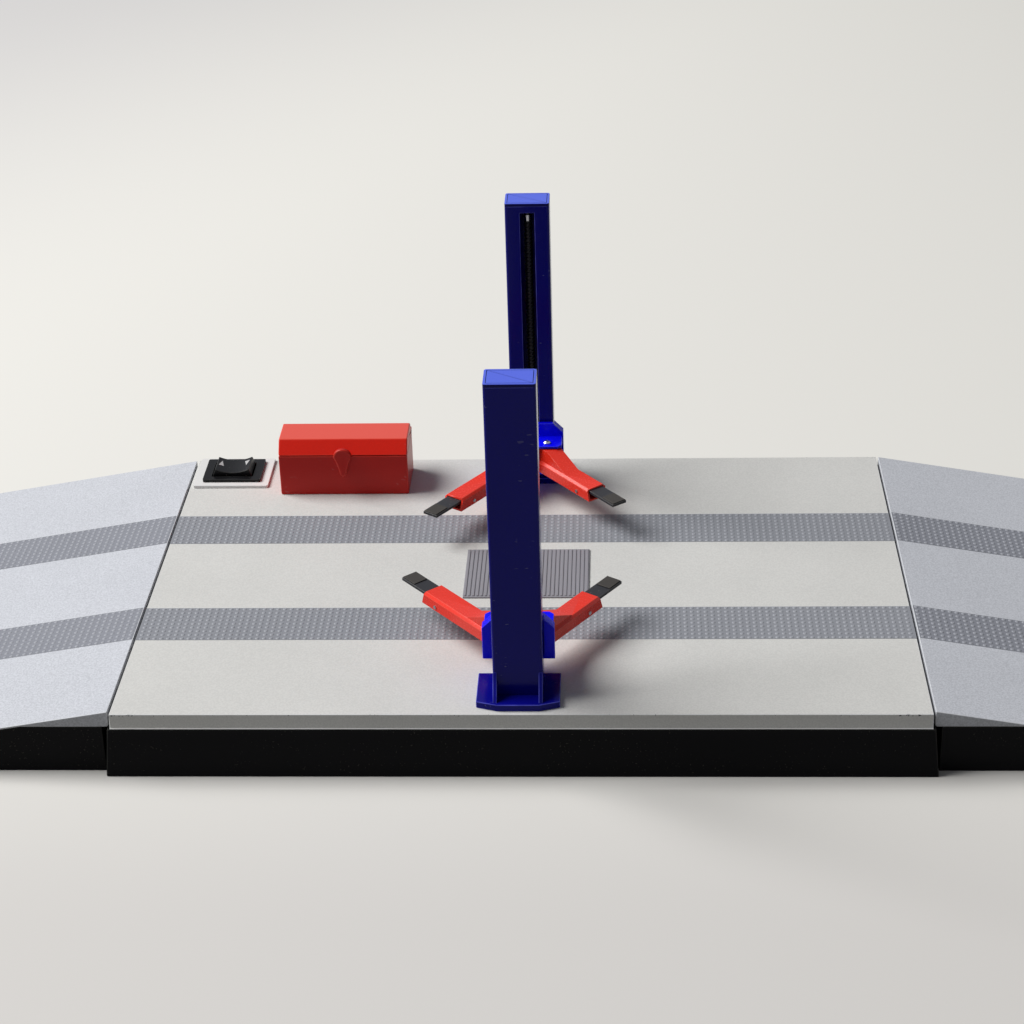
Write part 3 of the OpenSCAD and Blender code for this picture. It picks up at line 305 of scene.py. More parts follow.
@dataclass(frozen=True)
class DeckFinish(Finish):
    """Pebbled deck plastic, chipped at the ends of its long edges."""

    edge_y: float = 123.3 * MM
    edge_z: float = 29.6 * MM
    band: float = 0.4 * MM
    fade: float = 0.3 * MM
    chip_x: float = 162.0 * MM
    chip_run: float = 16 * MM
    chip_size: float = 1.1 * MM
    chip_colour: Colour = srgb(28, 28, 28)

    def tone(self, graph: Graph, place: Signal, grain: Signal) -> Signal:
        """Colour with the chips."""
        base = super().tone(graph, place, grain)
        side = abs(graph.axis(place, "Y"))
        rim = side.above(self.edge_y - self.band, self.fade)
        band = rim * graph.axis(place, "Z").above(self.edge_z, self.band)
        ends = abs(graph.axis(place, "X")).above(self.chip_x, self.chip_run) * 0.1
        chips = (graph.noise(place, self.chip_size, 3.0) + ends).above(0.68, 0.03) * band
        return graph.blend(chips, base, self.chip_colour)


@dataclass(frozen=True)
class BrushedFinish(Finish):
    """Turned or drawn metal with fine streaks along one axis."""

    stretch: Place = (1.0, 1.0, 0.06)
    streak_width: float = 0.35 * MM
    tarnish_size: float = 6 * MM

    def tone(self, graph: Graph, place: Signal, grain: Signal) -> Signal:
        """Colour with streaks."""
        streaks = graph.noise(graph.stretched(place, self.stretch), self.streak_width, 3.0)
        tarnish = graph.noise(place, self.tarnish_size, 3.0).above(0.55, 0.3)
        base = graph.blend(streaks, tinted(self.colour, 0.8), self.colour)
        return graph.blend(tarnish * 0.25, base, tinted(self.colour, 0.55))


@dataclass(frozen=True)
class SleeveFinish(Finish):
    """Sleeve of a cell between bare metal ends."""

    end_y: float = 22.5 * MM
    band_y: float = 12 * MM
    fade: float = 0.2 * MM
    band_colour: Colour = srgb(206, 170, 96)
    metal: Colour = (0.62, 0.62, 0.6, 1.0)

    def tone(self, graph: Graph, place: Signal, grain: Signal) -> Signal:
        """Sleeve colour with a pale band and metal ends."""
        base = super().tone(graph, place, grain)
        along = graph.axis(place, "Y")
        base = graph.blend(along.above(self.band_y, self.fade), base, self.band_colour)
        return graph.blend(abs(along).above(self.end_y, self.fade), base, self.metal)


@dataclass(frozen=True)
class PaintedLightFinish(Finish):
    """Plastic with a painted highlight above one height and painted shade below another.

    The paler top stands for light that the photo shows there, not for another plastic, and the darker part below the
    seam is painted shade.
    """

    lit_top_colour: Colour = (0.5, 0.5, 0.5, 1.0)
    top_z: float = 183.55 * MM
    top_fade: float = 0.1 * MM
    seam_z: float = 183.2 * MM
    seam_fade: float = 0.2 * MM
    seam_shade_tint: float = 0.3

    def tone(self, graph: Graph, place: Signal, grain: Signal) -> Signal:
        """The painted highlight of the top, the plain colour below it and the painted shade below the seam."""
        base = super().tone(graph, place, grain)
        height = graph.axis(place, "Z")
        # Painted highlight above the top's height, painted shade below the seam.
        lit = graph.blend(height.above(self.top_z, self.top_fade), base, self.lit_top_colour)
        seam_shade = tinted(self.colour, self.seam_shade_tint)
        return graph.blend(height.below(self.seam_z, self.seam_fade) * 0.5, lit, seam_shade)


# The lighter edge colours in the finishes below are painted highlights on rounded edges.
EDGE_HIGHLIGHT_GREY = srgb(226, 228, 230)
DECK = DeckFinish(
    "deck_plastic", srgb(213, 212, 208), 0.55, 0.75 * MM, 0.04 * MM, 0.02, 0.045, edge_highlight_share=0.7,
    edge_highlight_colour=EDGE_HIGHLIGHT_GREY,
)
RAMP = Finish(
    "ramp_plastic", srgb(202, 204, 210), 0.5, 0.8 * MM, 0.07 * MM, 0.02, 0.1, edge_highlight_share=0.8, edge_highlight_colour=EDGE_HIGHLIGHT_GREY
)
TREAD = Finish("tread_plastic", srgb(158, 160, 166), 0.5, 0.5 * MM, 0.01 * MM, 0.03, 0.04)
TREAD_GAP = Finish("tread_gap_plastic", srgb(142, 144, 150), 0.55, 0.5 * MM, 0.01 * MM, 0.03, 0.05)
RAMP_TREAD = Finish("ramp_tread_plastic", srgb(160, 162, 169), 0.5, 0.5 * MM, 0.01 * MM, 0.03, 0.04)
RAMP_GAP = Finish("ramp_gap_plastic", srgb(138, 140, 148), 0.55, 0.5 * MM, 0.01 * MM, 0.03, 0.05)
RIBBED = Finish("rib_plastic", srgb(146, 144, 150), 0.5, 0.5 * MM, 0.006 * MM, 0.03, 0.04)
BLACK = Finish(
    "base_plastic", srgb(15, 15, 17), 0.45, 0.5 * MM, 0.008 * MM, 0.06, 0.06, speckle=0.6,
    speck_colour=srgb(60, 58, 54), specular=0.06, edge_highlight_share=0.25, edge_highlight_colour=srgb(96, 96, 92),
)
NAVY = Finish(
    "post_plastic", srgb(10, 11, 124), 0.2, 0.9 * MM, 0.003 * MM, 0.04, 0.03, scratches=0.3, specular=0.12,
    edge_highlight_share=0.75, edge_highlight_colour=srgb(96, 100, 214),
)
# Cap: its paler top is a painted highlight and its sides below the seam are painted shade.
CAP_BLUE = PaintedLightFinish(
    "cap_plastic_painted_light", srgb(12, 12, 112), 0.3, 0.9 * MM, 0.003 * MM, 0.04, 0.03, specular=0.12,
    lit_top_colour=srgb(90, 110, 230), edge_highlight_share=0.3, edge_highlight_colour=srgb(96, 100, 214),
)
BLUE = Finish(
    "carriage_plastic", srgb(12, 12, 250), 0.24, 0.9 * MM, 0.003 * MM, 0.04, 0.03, scratches=0.3, specular=0.12,
    edge_highlight_share=0.5, edge_highlight_colour=srgb(80, 86, 255),
)
RED = Finish(
    "arm_plastic", srgb(236, 52, 34), 0.26, 0.9 * MM, 0.004 * MM, 0.03, 0.02, scratches=0.4, specular=0.28,
    edge_highlight_share=0.4, edge_highlight_colour=srgb(255, 120, 100),
)
# Box body and clasp: the lid's red painted darker as painted shade.
SHADED_BOX_RED = Finish(
    "toolbox_painted_shade_plastic", srgb(188, 20, 9), 0.34, 0.9 * MM, 0.003 * MM, 0.03, 0.02, scratches=0.2, specular=0.28,
    edge_highlight_share=0.15, edge_highlight_colour=srgb(255, 110, 90),
)
# Lid: the body's red painted lighter as painted light, with a painted highlight on its top and painted shade below the
# seam.
LIT_LID_RED = PaintedLightFinish(
    "toolbox_lid_painted_light_plastic", srgb(228, 31, 10), 0.34, 0.9 * MM, 0.003 * MM, 0.03, 0.02, scratches=0.2, specular=0.28,
    edge_highlight_share=0.15, edge_highlight_colour=srgb(255, 110, 90), lit_top_colour=srgb(232, 88, 74), top_z=59.7 * MM, seam_z=52.9 * MM,
)
EXTENSION = Finish(
    "extension_plastic", srgb(46, 46, 50), 0.34, 0.6 * MM, 0.005 * MM, 0.05, 0.05, scratches=0.6, speckle=0.4,
    speck_colour=srgb(110, 108, 104), edge_highlight_share=0.4, edge_highlight_colour=srgb(118, 116, 112),
)
RUBBER = Finish(
    "pad_rubber", srgb(66, 63, 60), 0.7, 0.4 * MM, 0.012 * MM, 0.06, 0.08, edge_highlight_share=0.4,
    edge_highlight_colour=srgb(122, 118, 112),
)
SWITCH = Finish(
    "switch_plastic", srgb(22, 22, 24), 0.3, 0.6 * MM, 0.003 * MM, 0.05, 0.04, speckle=0.3,
    speck_colour=srgb(90, 88, 84), specular=0.15, edge_highlight_share=0.4, edge_highlight_colour=srgb(74, 74, 72),
)
MARK = Finish("mark_paint", srgb(190, 190, 190), 0.5, 0.4 * MM, 0.004 * MM, 0.04, 0.04)
PLINTH = Finish(
    "plinth_plastic", srgb(228, 227, 225), 0.45, 0.6 * MM, 0.006 * MM, 0.02, 0.02, edge_highlight_share=0.5, edge_highlight_colour=EDGE_HIGHLIGHT_GREY
)
STEEL = BrushedFinish("screw_steel", (0.62, 0.62, 0.64, 1.0), 0.28, 0.5 * MM, 0.004 * MM, metallic=1.0)
DARK_STEEL = BrushedFinish("lead_screw_steel", (0.035, 0.035, 0.04, 1.0), 0.35, 0.5 * MM, 0.004 * MM, metallic=0.6)
MOTOR = BrushedFinish("motor_steel", (0.55, 0.56, 0.58, 1.0), 0.32, 0.6 * MM, 0.004 * MM, metallic=1.0)
BRASS = BrushedFinish("bush_brass", (0.72, 0.52, 0.22, 1.0), 0.3, 0.5 * MM, 0.004 * MM, metallic=1.0)
PULLEY = Finish("pulley_plastic", srgb(226, 224, 214), 0.38, 0.6 * MM, 0.004 * MM, 0.02)
BELT = Finish("belt_rubber", srgb(30, 30, 30), 0.7, 0.4 * MM, 0.01 * MM, 0.08)
CELL = SleeveFinish("cell_sleeve", srgb(26, 92, 64), 0.3, 0.6 * MM, 0.002 * MM, 0.04)
WIRE = Finish("wire_sleeve", srgb(178, 26, 22), 0.4, 0.5 * MM, 0.004 * MM, 0.05)


class Side(Enum):
    """Which of two opposite places a sub-assembly has."""

    FRONT = "front"
    REAR = "rear"
    LEFT = "left"
    RIGHT = "right"

    @property
    def sign(self) -> float:
        """Sign of the place along its axis."""
        return -1.0 if self in (Side.FRONT, Side.LEFT) else 1.0


class Mesh:
    """A bmesh that is modelled, then handed over as a finished piece."""

    def __init__(self) -> None:
        """Starts an empty mesh with a layer that marks rounded edges."""
        self.bm = bmesh.new()
        self.layer = self.bm.faces.layers.float.new(EDGE_LAYER)

    @classmethod
    def copy_of(cls, node: str) -> "Mesh":
        """Merged copy of a CAD node's mesh.

        Args:
            node: The CAD node's name.

        Returns:
            The copy, with its flat faces joined.
        """
        made = cls()
        made.bm.from_mesh(bpy.data.objects[node].data)
        made.layer = made.bm.faces.layers.float.get(EDGE_LAYER) or made.bm.faces.layers.float.new(EDGE_LAYER)
        bmesh.ops.remove_doubles(made.bm, verts=made.bm.verts, dist=MERGE_DISTANCE)
        bmesh.ops.dissolve_limit(
            made.bm, angle_limit=FLAT_ANGLE, verts=made.bm.verts, edges=made.bm.edges, use_dissolve_boundaries=False
        )
        return made

    def block(self, size: Place, centre: Place) -> None:
        """Adds a box."""
        matrix = Matrix.Translation(centre) @ Matrix.Diagonal((*size, 1.0))
        bmesh.ops.create_cube(self.bm, size=1.0, matrix=matrix)

    def plate(self, outline: Sequence[Vector], push: Vector) -> None:
        """Adds an outline pushed out to a solid.

        Args:
            outline: Corners of the flat outline, in order.
            push: Way and distance to the other face.
        """
        corners = [self.bm.verts.new(c) for c in outline]
        face = self.bm.faces.new(corners)
        far = bmesh.ops.extrude_face_region(self.bm, geom=[face], use_keep_orig=True)["geom"]
        moved = [v for v in far if isinstance(v, bmesh.types.BMVert)]
        bmesh.ops.translate(self.bm, vec=push, verts=moved)
        bmesh.ops.recalc_face_normals(self.bm, faces=self.bm.faces)

    def drum(self, low: float, high: float, depth: float, matrix: Matrix, steps: int) -> None:
        """Adds a cone or cylinder between two radii."""
        bmesh.ops.create_cone(
            self.bm, cap_ends=True, segments=steps, radius1=low, radius2=high, depth=depth, matrix=matrix
        )

    def rounded(self, width: float, segments: int, least: float) -> "Mesh":
        """Rounds the long sharp edges that stand out.

        Args:
            width: Offset of the rounding from each edge.
            segments: Steps of the rounding.
            least: Shortest edge that is rounded.

        Returns:
            The mesh.
        """
        sharp = [
            e
            for e in self.bm.edges
            if e.is_convex and e.calc_face_angle(0.0) > SHARP_ANGLE and e.calc_length() > least
        ]
        return self.bevelled(sharp, width, segments)

    def bevelled(self, edges: Iterable[Any], width: float, segments: int) -> "Mesh":
        """Rounds some edges and marks the new faces in the edge layer."""
        made = bmesh.ops.bevel(
            self.bm, geom=list(edges), offset=width, offset_type="OFFSET", segments=segments, profile=0.5,
            affect="EDGES", clamp_overlap=False, material=-1,
        )
        for face in made["faces"]:
            face[self.layer] = 1.0
        return self

    def array(self, count: int, step: Vector) -> "Mesh":
        """Lays copies of the whole mesh a step apart, by doubling.

        Args:
            count: How many copies there are in the end.
            step: Way from one copy to the next.

        Returns:
            The mesh.
        """
        start = min(v.co.dot(step) for v in self.bm.verts)
        limit = start + (count - 0.1) * step.length_squared
        done = 1
        while done < count:
            parts = self.bm.verts[:] + self.bm.edges[:] + self.bm.faces[:]
            more = bmesh.ops.duplicate(self.bm, geom=parts)["geom"]
            verts = [v for v in more if isinstance(v, bmesh.types.BMVert)]
            bmesh.ops.translate(self.bm, vec=step * done, verts=verts)
            done *= 2
        extra = [f for f in self.bm.faces if min(v.co.dot(step) for v in f.verts) > limit]
        gone = {v for f in extra for v in f.verts}
        bmesh.ops.delete(self.bm, geom=list(gone), context="VERTS")
        return self

    def moved(self, matrix: Matrix) -> "Mesh":
        """Puts the whole mesh somewhere else."""
        bmesh.ops.transform(self.bm, matrix=matrix, verts=self.bm.verts)
        if matrix.determinant() < 0:
            bmesh.ops.reverse_faces(self.bm, faces=self.bm.faces)
        return self

    def piece(
        self, name: str, body: str, finish: Finish, slot: str, replaces: Iterable[str] = (), smooth: float = 38.0
    ) -> None:
        """Hands the mesh over as a finished piece.

        Args:
            name: The piece's name.
            body: The CAD body that it moves with.
            finish: Its material.
            slot: Not used.
            replaces: CAD nodes that it stands for.
            smooth: Angle in degrees up to which faces are shaded as one.
        """
        data = bpy.data.meshes.new(name)
        self.bm.to_mesh(data)
        self.bm.free()
        data.shade_smooth()
        data.set_sharp_from_angle(angle=math.radians(smooth))
        data.materials.append(finish.material())
        made = bpy.data.objects.new(name, data)
        bpy.context.scene.collection.objects.link(made)
        weighted = made.modifiers.new("weighted", "WEIGHTED_NORMAL")
        weighted.keep_sharp = True
        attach(made, body)
        if replaces:
            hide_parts(*replaces)
        LOG.info("%s rides on %s, %d faces", name, body, len(data.polygons))


def soften(node: str, finish: Finish, slot: str, width: float, segments: int, least: float) -> None:
    """Replaces a CAD node by a copy with rounded edges.

    Args:
        node: The CAD node's name.
        finish: Its material.
        slot: The record's material slot.
        width: Offset of the rounding.
        segments: Steps of the rounding.
        least: Shortest edge that is rounded.
    """
    body = bpy.data.objects[node]["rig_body"]
    mesh = Mesh.copy_of(node).rounded(width, segments, least)
    mesh.piece(f"{node}_moulding", body, finish, slot, [node])


def dress(node: str, finish: Finish) -> None:
    """Gives a CAD node that stays its material."""
    data = bpy.data.objects[node].data
    data.materials.clear()
    data.materials.append(finish.material())
    LOG.info("%s keeps its CAD shape", node)


@dataclass
class TreadField:
    """Small blunt studs in a square grid on a flat strip."""

    length: float
    width: float
    pitch_x: float = 3.2 * MM
    pitch_y: float = 3.3 * MM
    foot_radius: float = 1.15 * MM
    crown_radius: float = 0.55 * MM
    height: float = 0.32 * MM
    sunk: float = 0.04 * MM
    sides: int = 10

    def build(self, start_x: float, centre_y: float, top_z: float) -> Mesh:
        """Lays the studs on a level strip.

        Args:
            start_x: Left end of the strip.
            centre_y: Middle of the strip.
            top_z: The strip's surface.

        Returns:
            The mesh of all studs.
        """
        mesh = Mesh()
        rows = int((self.width - 2 * self.foot_radius) / self.pitch_y) + 1
        columns = int((self.length - 2 * self.foot_radius) / self.pitch_x) + 1
        first_x = start_x + (self.length - (columns - 1) * self.pitch_x) / 2
        first_y = centre_y - (rows - 1) * self.pitch_y / 2
        rise = self.height + self.sunk
        place = Matrix.Translation((first_x, first_y, top_z + rise / 2 - self.sunk))
        mesh.drum(self.foot_radius, self.crown_radius, rise, place, self.sides)
        low = [f for f in mesh.bm.faces if f.normal.z < -0.9]
        bmesh.ops.delete(mesh.bm, geom=low, context="FACES")
        mesh.array(columns, Vector((self.pitch_x, 0.0, 0.0)))
        return mesh.array(rows, Vector((0.0, self.pitch_y, 0.0)))


@dataclass
class Platform:
    """The base tub, the deck and what is set into it."""

    length: float = 360 * MM
    track: float = 92 * MM
    strip_width: float = 28.8 * MM
    top: float = 30.4 * MM

    def build(self) -> None:
        """Builds the platform's pieces."""
        soften("base_tub", BLACK, "base_black", 0.5 * MM, 2, 4 * MM)
        soften("deck_plate", DECK, "deck_grey", 0.3 * MM, 2, 4 * MM)
        dress("deck_tread_strips", TREAD_GAP)
        soften("centre_plate", RIBBED, "rib_grey", 0.12 * MM, 1, 4 * MM)
        for side in (Side.FRONT, Side.REAR):
            field = TreadField(self.length, self.strip_width)
            mesh = field.build(-self.length / 2, side.sign * self.track / 2, self.top)
            mesh.piece(f"{side.value}_deck_tread_studs", "platform", TREAD, "tread_grey", smooth=20.0)
        for node, finish in (
            ("deck_screws", STEEL), ("foot_screws", STEEL), ("battery_case", BLACK), ("battery_cells", CELL),
            ("motor", MOTOR), ("timing_belt", BELT), ("screw_bushes", BRASS), ("wiring", WIRE),
        ):
            dress(node, finish)


@dataclass
class Column:
    """One post with its cap, foot and lead screw."""

    side: Side
    centre_y: float = 104.6 * MM
    width: float = 22 * MM
    depth: float = 15.2 * MM
    corner: float = 1.2 * MM
    cap_low: float = 182.2 * MM
    cap_height: float = 1.5 * MM
    wall: float = 1.1 * MM
    groove: float = 0.28 * MM
    groove_depth: float = 0.6 * MM
    plug_depth: float = 3 * MM
    plug_inset: float = 1.7 * MM
    corner_steps: int = 6
    rim_radius: float = 0.2 * MM
    slack: float = 0.01 * MM
    core: float = 1.6 * MM
    crest: float = 2.0 * MM
    journal: float = 1.5 * MM
    pitch: float = 2 * MM
    starts: int = 3
    turn_steps: int = 18
    ridge: tuple[float, ...] = (0.0, 0.3, 0.5, 0.8)
    core_share: float = 0.98
    thread_low: float = 30.9 * MM
    thread_high: float = 178.7 * MM
    journal_low: float = 5.75 * MM
    journal_high: float = 181.7 * MM
    collar: tuple[float, float] = (172.5 * MM, 175.5 * MM)

    def build(self) -> None:
        """Builds the column's pieces."""
        name = self.side.value
        soften(f"{name}_post", NAVY, "post_navy", 0.3 * MM, 2, 4 * MM)
        soften(f"{name}_foot", NAVY, "post_navy", 0.35 * MM, 2, 1.5 * MM)
        self.cap()
        self.screw()
        dress("rear_pulley" if self.side is Side.REAR else "front_drive_pulley", PULLEY)

    def cap(self) -> None:
        """Builds the cap: a wall round a plug, with a fine seam between them."""
        mesh = Mesh()
        half_x, half_y, steps = self.width / 2, self.depth / 2, self.corner_steps
        inner_x, inner_y = half_x - 0.6 * self.wall, half_y - 0.6 * self.wall
        corners = []
        for quarter, (sx, sy) in enumerate(((1, 1), (-1, 1), (-1, -1), (1, -1))):
            for step in range(steps + 1):
                turn = math.radians(90 * (quarter + step / steps))
                corners.append(Vector((
                    sx * (half_x - self.corner) + self.corner * math.cos(turn),
                    sy * (half_y - self.corner) + self.corner * math.sin(turn), 0.0,
                )))
        mesh.plate(corners, Vector((0.0, 0.0, self.cap_height - self.groove_depth)))
        bm = mesh.bm
        top = max(bm.faces, key=lambda f: f.calc_center_median().z)
        ring = bmesh.ops.inset_region(bm, faces=[top], thickness=self.wall, use_even_offset=True)["faces"]
        bmesh.ops.inset_region(bm, faces=[top], thickness=self.groove, use_even_offset=True)
        for region in (ring, [top]):
            more = bmesh.ops.extrude_face_region(bm, geom=region)["geom"]
            lifted = [v for v in more if isinstance(v, bmesh.types.BMVert)]
            bmesh.ops.translate(bm, vec=(0.0, 0.0, self.groove_depth), verts=lifted)
        bmesh.ops.recalc_face_normals(bm, faces=bm.faces)
        level = [f for f in bm.faces if len(f.verts) > 4]
        bmesh.ops.triangulate(bm, faces=level, ngon_method="BEAUTY")
        rim = [
            e
            for e in bm.edges
            if all(v.co.z > self.cap_height - self.slack for v in e.verts)
            and e.calc_face_angle(0.0) > 1.0
            and not all(abs(v.co.x) < inner_x and abs(v.co.y) < inner_y for v in e.verts)
        ]
        mesh.bevelled(rim, self.rim_radius, 2)
        plug = (self.width - 2 * self.plug_inset, self.depth - 2 * self.plug_inset, self.plug_depth)
        mesh.block(plug, (0.0, 0.0, -self.plug_depth / 2))
        mesh.moved(Matrix.Translation((0.0, self.side.sign * self.centre_y, self.cap_low)))
        mesh.piece(
            f"{self.side.value}_post_cap_moulding", "platform", CAP_BLUE, "post_navy", [f"{self.side.value}_post_cap"]
        )

    def screw(self) -> None:
        """Builds the lead screw with its three-start thread by a spin that climbs."""
        mesh = Mesh()
        bm = mesh.bm
        lead, turn_steps = self.pitch * self.starts, self.turn_steps
        turns = (self.thread_high - self.thread_low - lead) / lead
        line = []
        for start in range(self.starts):
            low = start * self.pitch
            for radius, rise in zip((self.core, self.core, self.crest, self.crest), self.ridge):
                line.append(bm.verts.new((radius, 0.0, low + rise * self.pitch)))
        line.append(bm.verts.new((self.core, 0.0, lead)))
        edges = [bm.edges.new(pair) for pair in zip(line, line[1:])]
        steps = round(turns * turn_steps)
        bmesh.ops.spin(
            bm, geom=line + edges, cent=(0.0, 0.0, 0.0), axis=(0.0, 0.0, 1.0), angle=steps / turn_steps * math.tau,
            steps=steps, dvec=(0.0, 0.0, lead / turn_steps), use_merge=False,
        )
        bmesh.ops.remove_doubles(bm, verts=bm.verts, dist=1e-6)
        bmesh.ops.recalc_face_normals(bm, faces=bm.faces)
        bmesh.ops.translate(bm, vec=(0.0, 0.0, self.thread_low), verts=bm.verts)
        core, radius = self.thread_high - self.thread_low, self.core_share * self.core
        mesh.drum(radius, radius, core, Matrix.Translation((0, 0, self.thread_low + core / 2)), turn_steps)
        whole = self.journal_high - self.journal_low
        mesh.drum(self.journal, self.journal, whole, Matrix.Translation((0, 0, self.journal_low + whole / 2)), 24)
        mesh.moved(Matrix.Translation((0.0, self.side.sign * self.centre_y, 0.0)))
        name = self.side.value
        mesh.piece(f"{name}_threaded_screw", f"{name}_screw", DARK_STEEL, "screw_steel", [f"{name}_lead_screw"])
        ring = Mesh()
        low, high = self.collar
        ring.drum(
            self.crest, self.crest, high - low,
            Matrix.Translation((0.0, self.side.sign * self.centre_y, (low + high) / 2)), 32,
        )
        ring.piece(f"{name}_screw_collar", f"{name}_screw", STEEL, "screw_steel")


@dataclass
class Carriage:
    """One lift carriage with its nut and pivot screws."""

    side: Side

    def build(self) -> None:
        """Builds the carriage's pieces."""
        name = self.side.value
        soften(f"{name}_carriage", BLUE, "carriage_blue", 0.3 * MM, 2, 1.4 * MM)
        dress(f"{name}_lift_nut", BRASS)
        dress(f"{name}_pivot_screws", STEEL)


@dataclass
class LiftArm:
    """One swing arm with its extension, pad and stop pin."""

    side: Side
    hand: Side

    def build(self) -> None:
        """Builds the arm's pieces."""
        name = f"{self.side.value}_{self.hand.value}"
        soften(f"{name}_arm", RED, "arm_red", 0.12 * MM, 2, 2.0 * MM)
        soften(f"{name}_extension", EXTENSION, "extension_black", 0.25 * MM, 2, 1.2 * MM)
        soften(f"{name}_pad", RUBBER, "pad_rubber", 0.15 * MM, 2, 1.2 * MM)
        dress(f"{name}_stop_pin", STEEL)


@dataclass
class Switch:
    """The rocker switch on its plinth."""

    centre: Place = (-158.5 * MM, 107 * MM, 33.5 * MM)
    rocker_length: float = 20.6 * MM
    top_share: float = 0.86
    end_height: float = 3.8 * MM
    middle_height: float = 1.8 * MM
    mark_place: Place = (6.6 * MM, 1.6 * MM, 0.0)
    arrow_half: float = 1.3 * MM
    arrow_length: float = 5.2 * MM
    ring_radius: float = 2.4 * MM
    ring_stroke: float = 0.8 * MM
    ring_steps: int = 32
    mark_thickness: float = 0.12 * MM
    mark_sunk: float = 0.04 * MM

    def build(self) -> None:
        """Builds the switch's pieces."""
        soften("switch_plinth", PLINTH, "plinth_grey", 0.45 * MM, 3, 4 * MM)
        soften("switch_housing", SWITCH, "switch_black", 0.45 * MM, 3, 4 * MM)
        soften("switch_rocker", SWITCH, "switch_black", 0.4 * MM, 3, 1.0 * MM)
        self.marks()

    def surface(self, x: float) -> float:
        """Height of the rocker's hollow top at a place along it."""
        share = x / (self.top_share * self.rocker_length / 2)
        return self.middle_height + (self.end_height - self.middle_height) * share * share

    def marks(self) -> None:
        """Lays an arrow to the rear, a ring and an arrow to the front on the rocker's hollow top."""
        mesh = Mesh()
        across, back, _ = self.mark_place
        for way in (-1, 1):
            centre = Vector((way * across, back, 0.0))
            tip = Vector((0.0, -way * self.arrow_length / 2, 0.0))
            side = Vector((self.arrow_half, 0.0, 0.0))
            mesh.plate([centre + tip, centre - tip - side, centre - tip + side], self.lift())
        place = Matrix.Translation((0.0, back, 0.0))
        made = bmesh.ops.create_circle(
            mesh.bm, cap_ends=True, radius=self.ring_radius, segments=self.ring_steps, matrix=place
        )
        disc = made["verts"][0].link_faces[0]
        ring = bmesh.ops.inset_region(mesh.bm, faces=[disc], thickness=self.ring_stroke)["faces"]
        bmesh.ops.delete(mesh.bm, geom=[disc], context="FACES")
        more = bmesh.ops.extrude_face_region(mesh.bm, geom=ring, use_keep_orig=True)["geom"]
        lifted = [v for v in more if isinstance(v, bmesh.types.BMVert)]
        bmesh.ops.translate(mesh.bm, vec=self.lift(), verts=lifted)
        bmesh.ops.recalc_face_normals(mesh.bm, faces=mesh.bm.faces)
        for v in mesh.bm.verts:
            v.co.z += self.surface(v.co.x) - self.mark_sunk
        mesh.moved(Matrix.Translation(self.centre))
        mesh.piece("rocker_marks", "switch_rocker", MARK, "plinth_grey")

    def lift(self) -> Vector:
        """Way from a mark's underside to its top."""
        return Vector((0.0, 0.0, self.mark_thickness))


@dataclass
class Toolbox:
    """The toolbox with its lid, hinge pin and clasp."""

    centre_x: float = -97.4 * MM
    front_y: float = 83.8 * MM
    crease_z: float = 52.8 * MM
    head_radius: float = 4.7 * MM
    head_height: float = 4.5 * MM
    tail: float = 11 * MM
    tail_half: float = 1.7 * MM
    thickness: float = 2.2 * MM
    gap: float = 0.3 * MM
    pillow: float = 0.9 * MM
    steps: int = 16
    flank_steps: int = 7
    flank_power: float = 1.6

    def build(self) -> None:
        """Builds the toolbox's pieces."""
        soften("toolbox_body", SHADED_BOX_RED, "toolbox_red", 0.7 * MM, 3, 4 * MM)
        soften("toolbox_lid", LIT_LID_RED, "toolbox_red", 0.7 * MM, 3, 4 * MM)
        self.clasp()
        dress("toolbox_hinge_pin", STEEL)

    def flank(self, way: int, step: int) -> Vector:
        """Point of the clasp's outline between its head and its tail."""
        share = step / self.flank_steps
        bulge = self.tail_half + (self.head_radius - self.tail_half) * (1 - share) ** self.flank_power
        return Vector((way * bulge, 0.0, -self.tail * share))

    def clasp(self) -> None:
        """Builds the drop-shaped clasp with a pillowed front."""
        mesh = Mesh()
        outline = []
        for step in range(self.steps + 1):
            turn = math.pi * step / self.steps
            outline.append(Vector((self.head_radius * math.cos(turn), 0.0, self.head_height * math.sin(turn))))
        between = range(1, self.flank_steps)
        outline += [self.flank(-1, step) for step in between]
        for step in range(self.flank_steps):
            turn = math.pi * step / (self.flank_steps - 1)
            outline.append(Vector((
                -self.tail_half * math.cos(turn), 0.0, -self.tail + self.tail_half * (1 - math.sin(turn)),
            )))
        outline += [self.flank(1, step) for step in reversed(between)]
        mesh.plate(outline, Vector((0.0, -self.thickness, 0.0)))
        rim = [
            e for e in mesh.bm.edges
            if all(v.co.y < -self.thickness / 2 for v in e.verts) and e.calc_face_angle(0.0) > 1.0
        ]
        mesh.bevelled(rim, self.pillow, 4)
        mesh.moved(Matrix.Translation((self.centre_x, self.front_y - self.gap, self.crease_z)))
        mesh.block(
            (self.head_radius, self.gap + self.pillow, self.head_height / 2),
            (self.centre_x, self.front_y + self.gap / 2, self.crease_z + self.head_height / 4),
        )
        mesh.piece("toolbox_clasp_drop", "toolbox_lid", SHADED_BOX_RED, "toolbox_red", ["toolbox_clasp"])


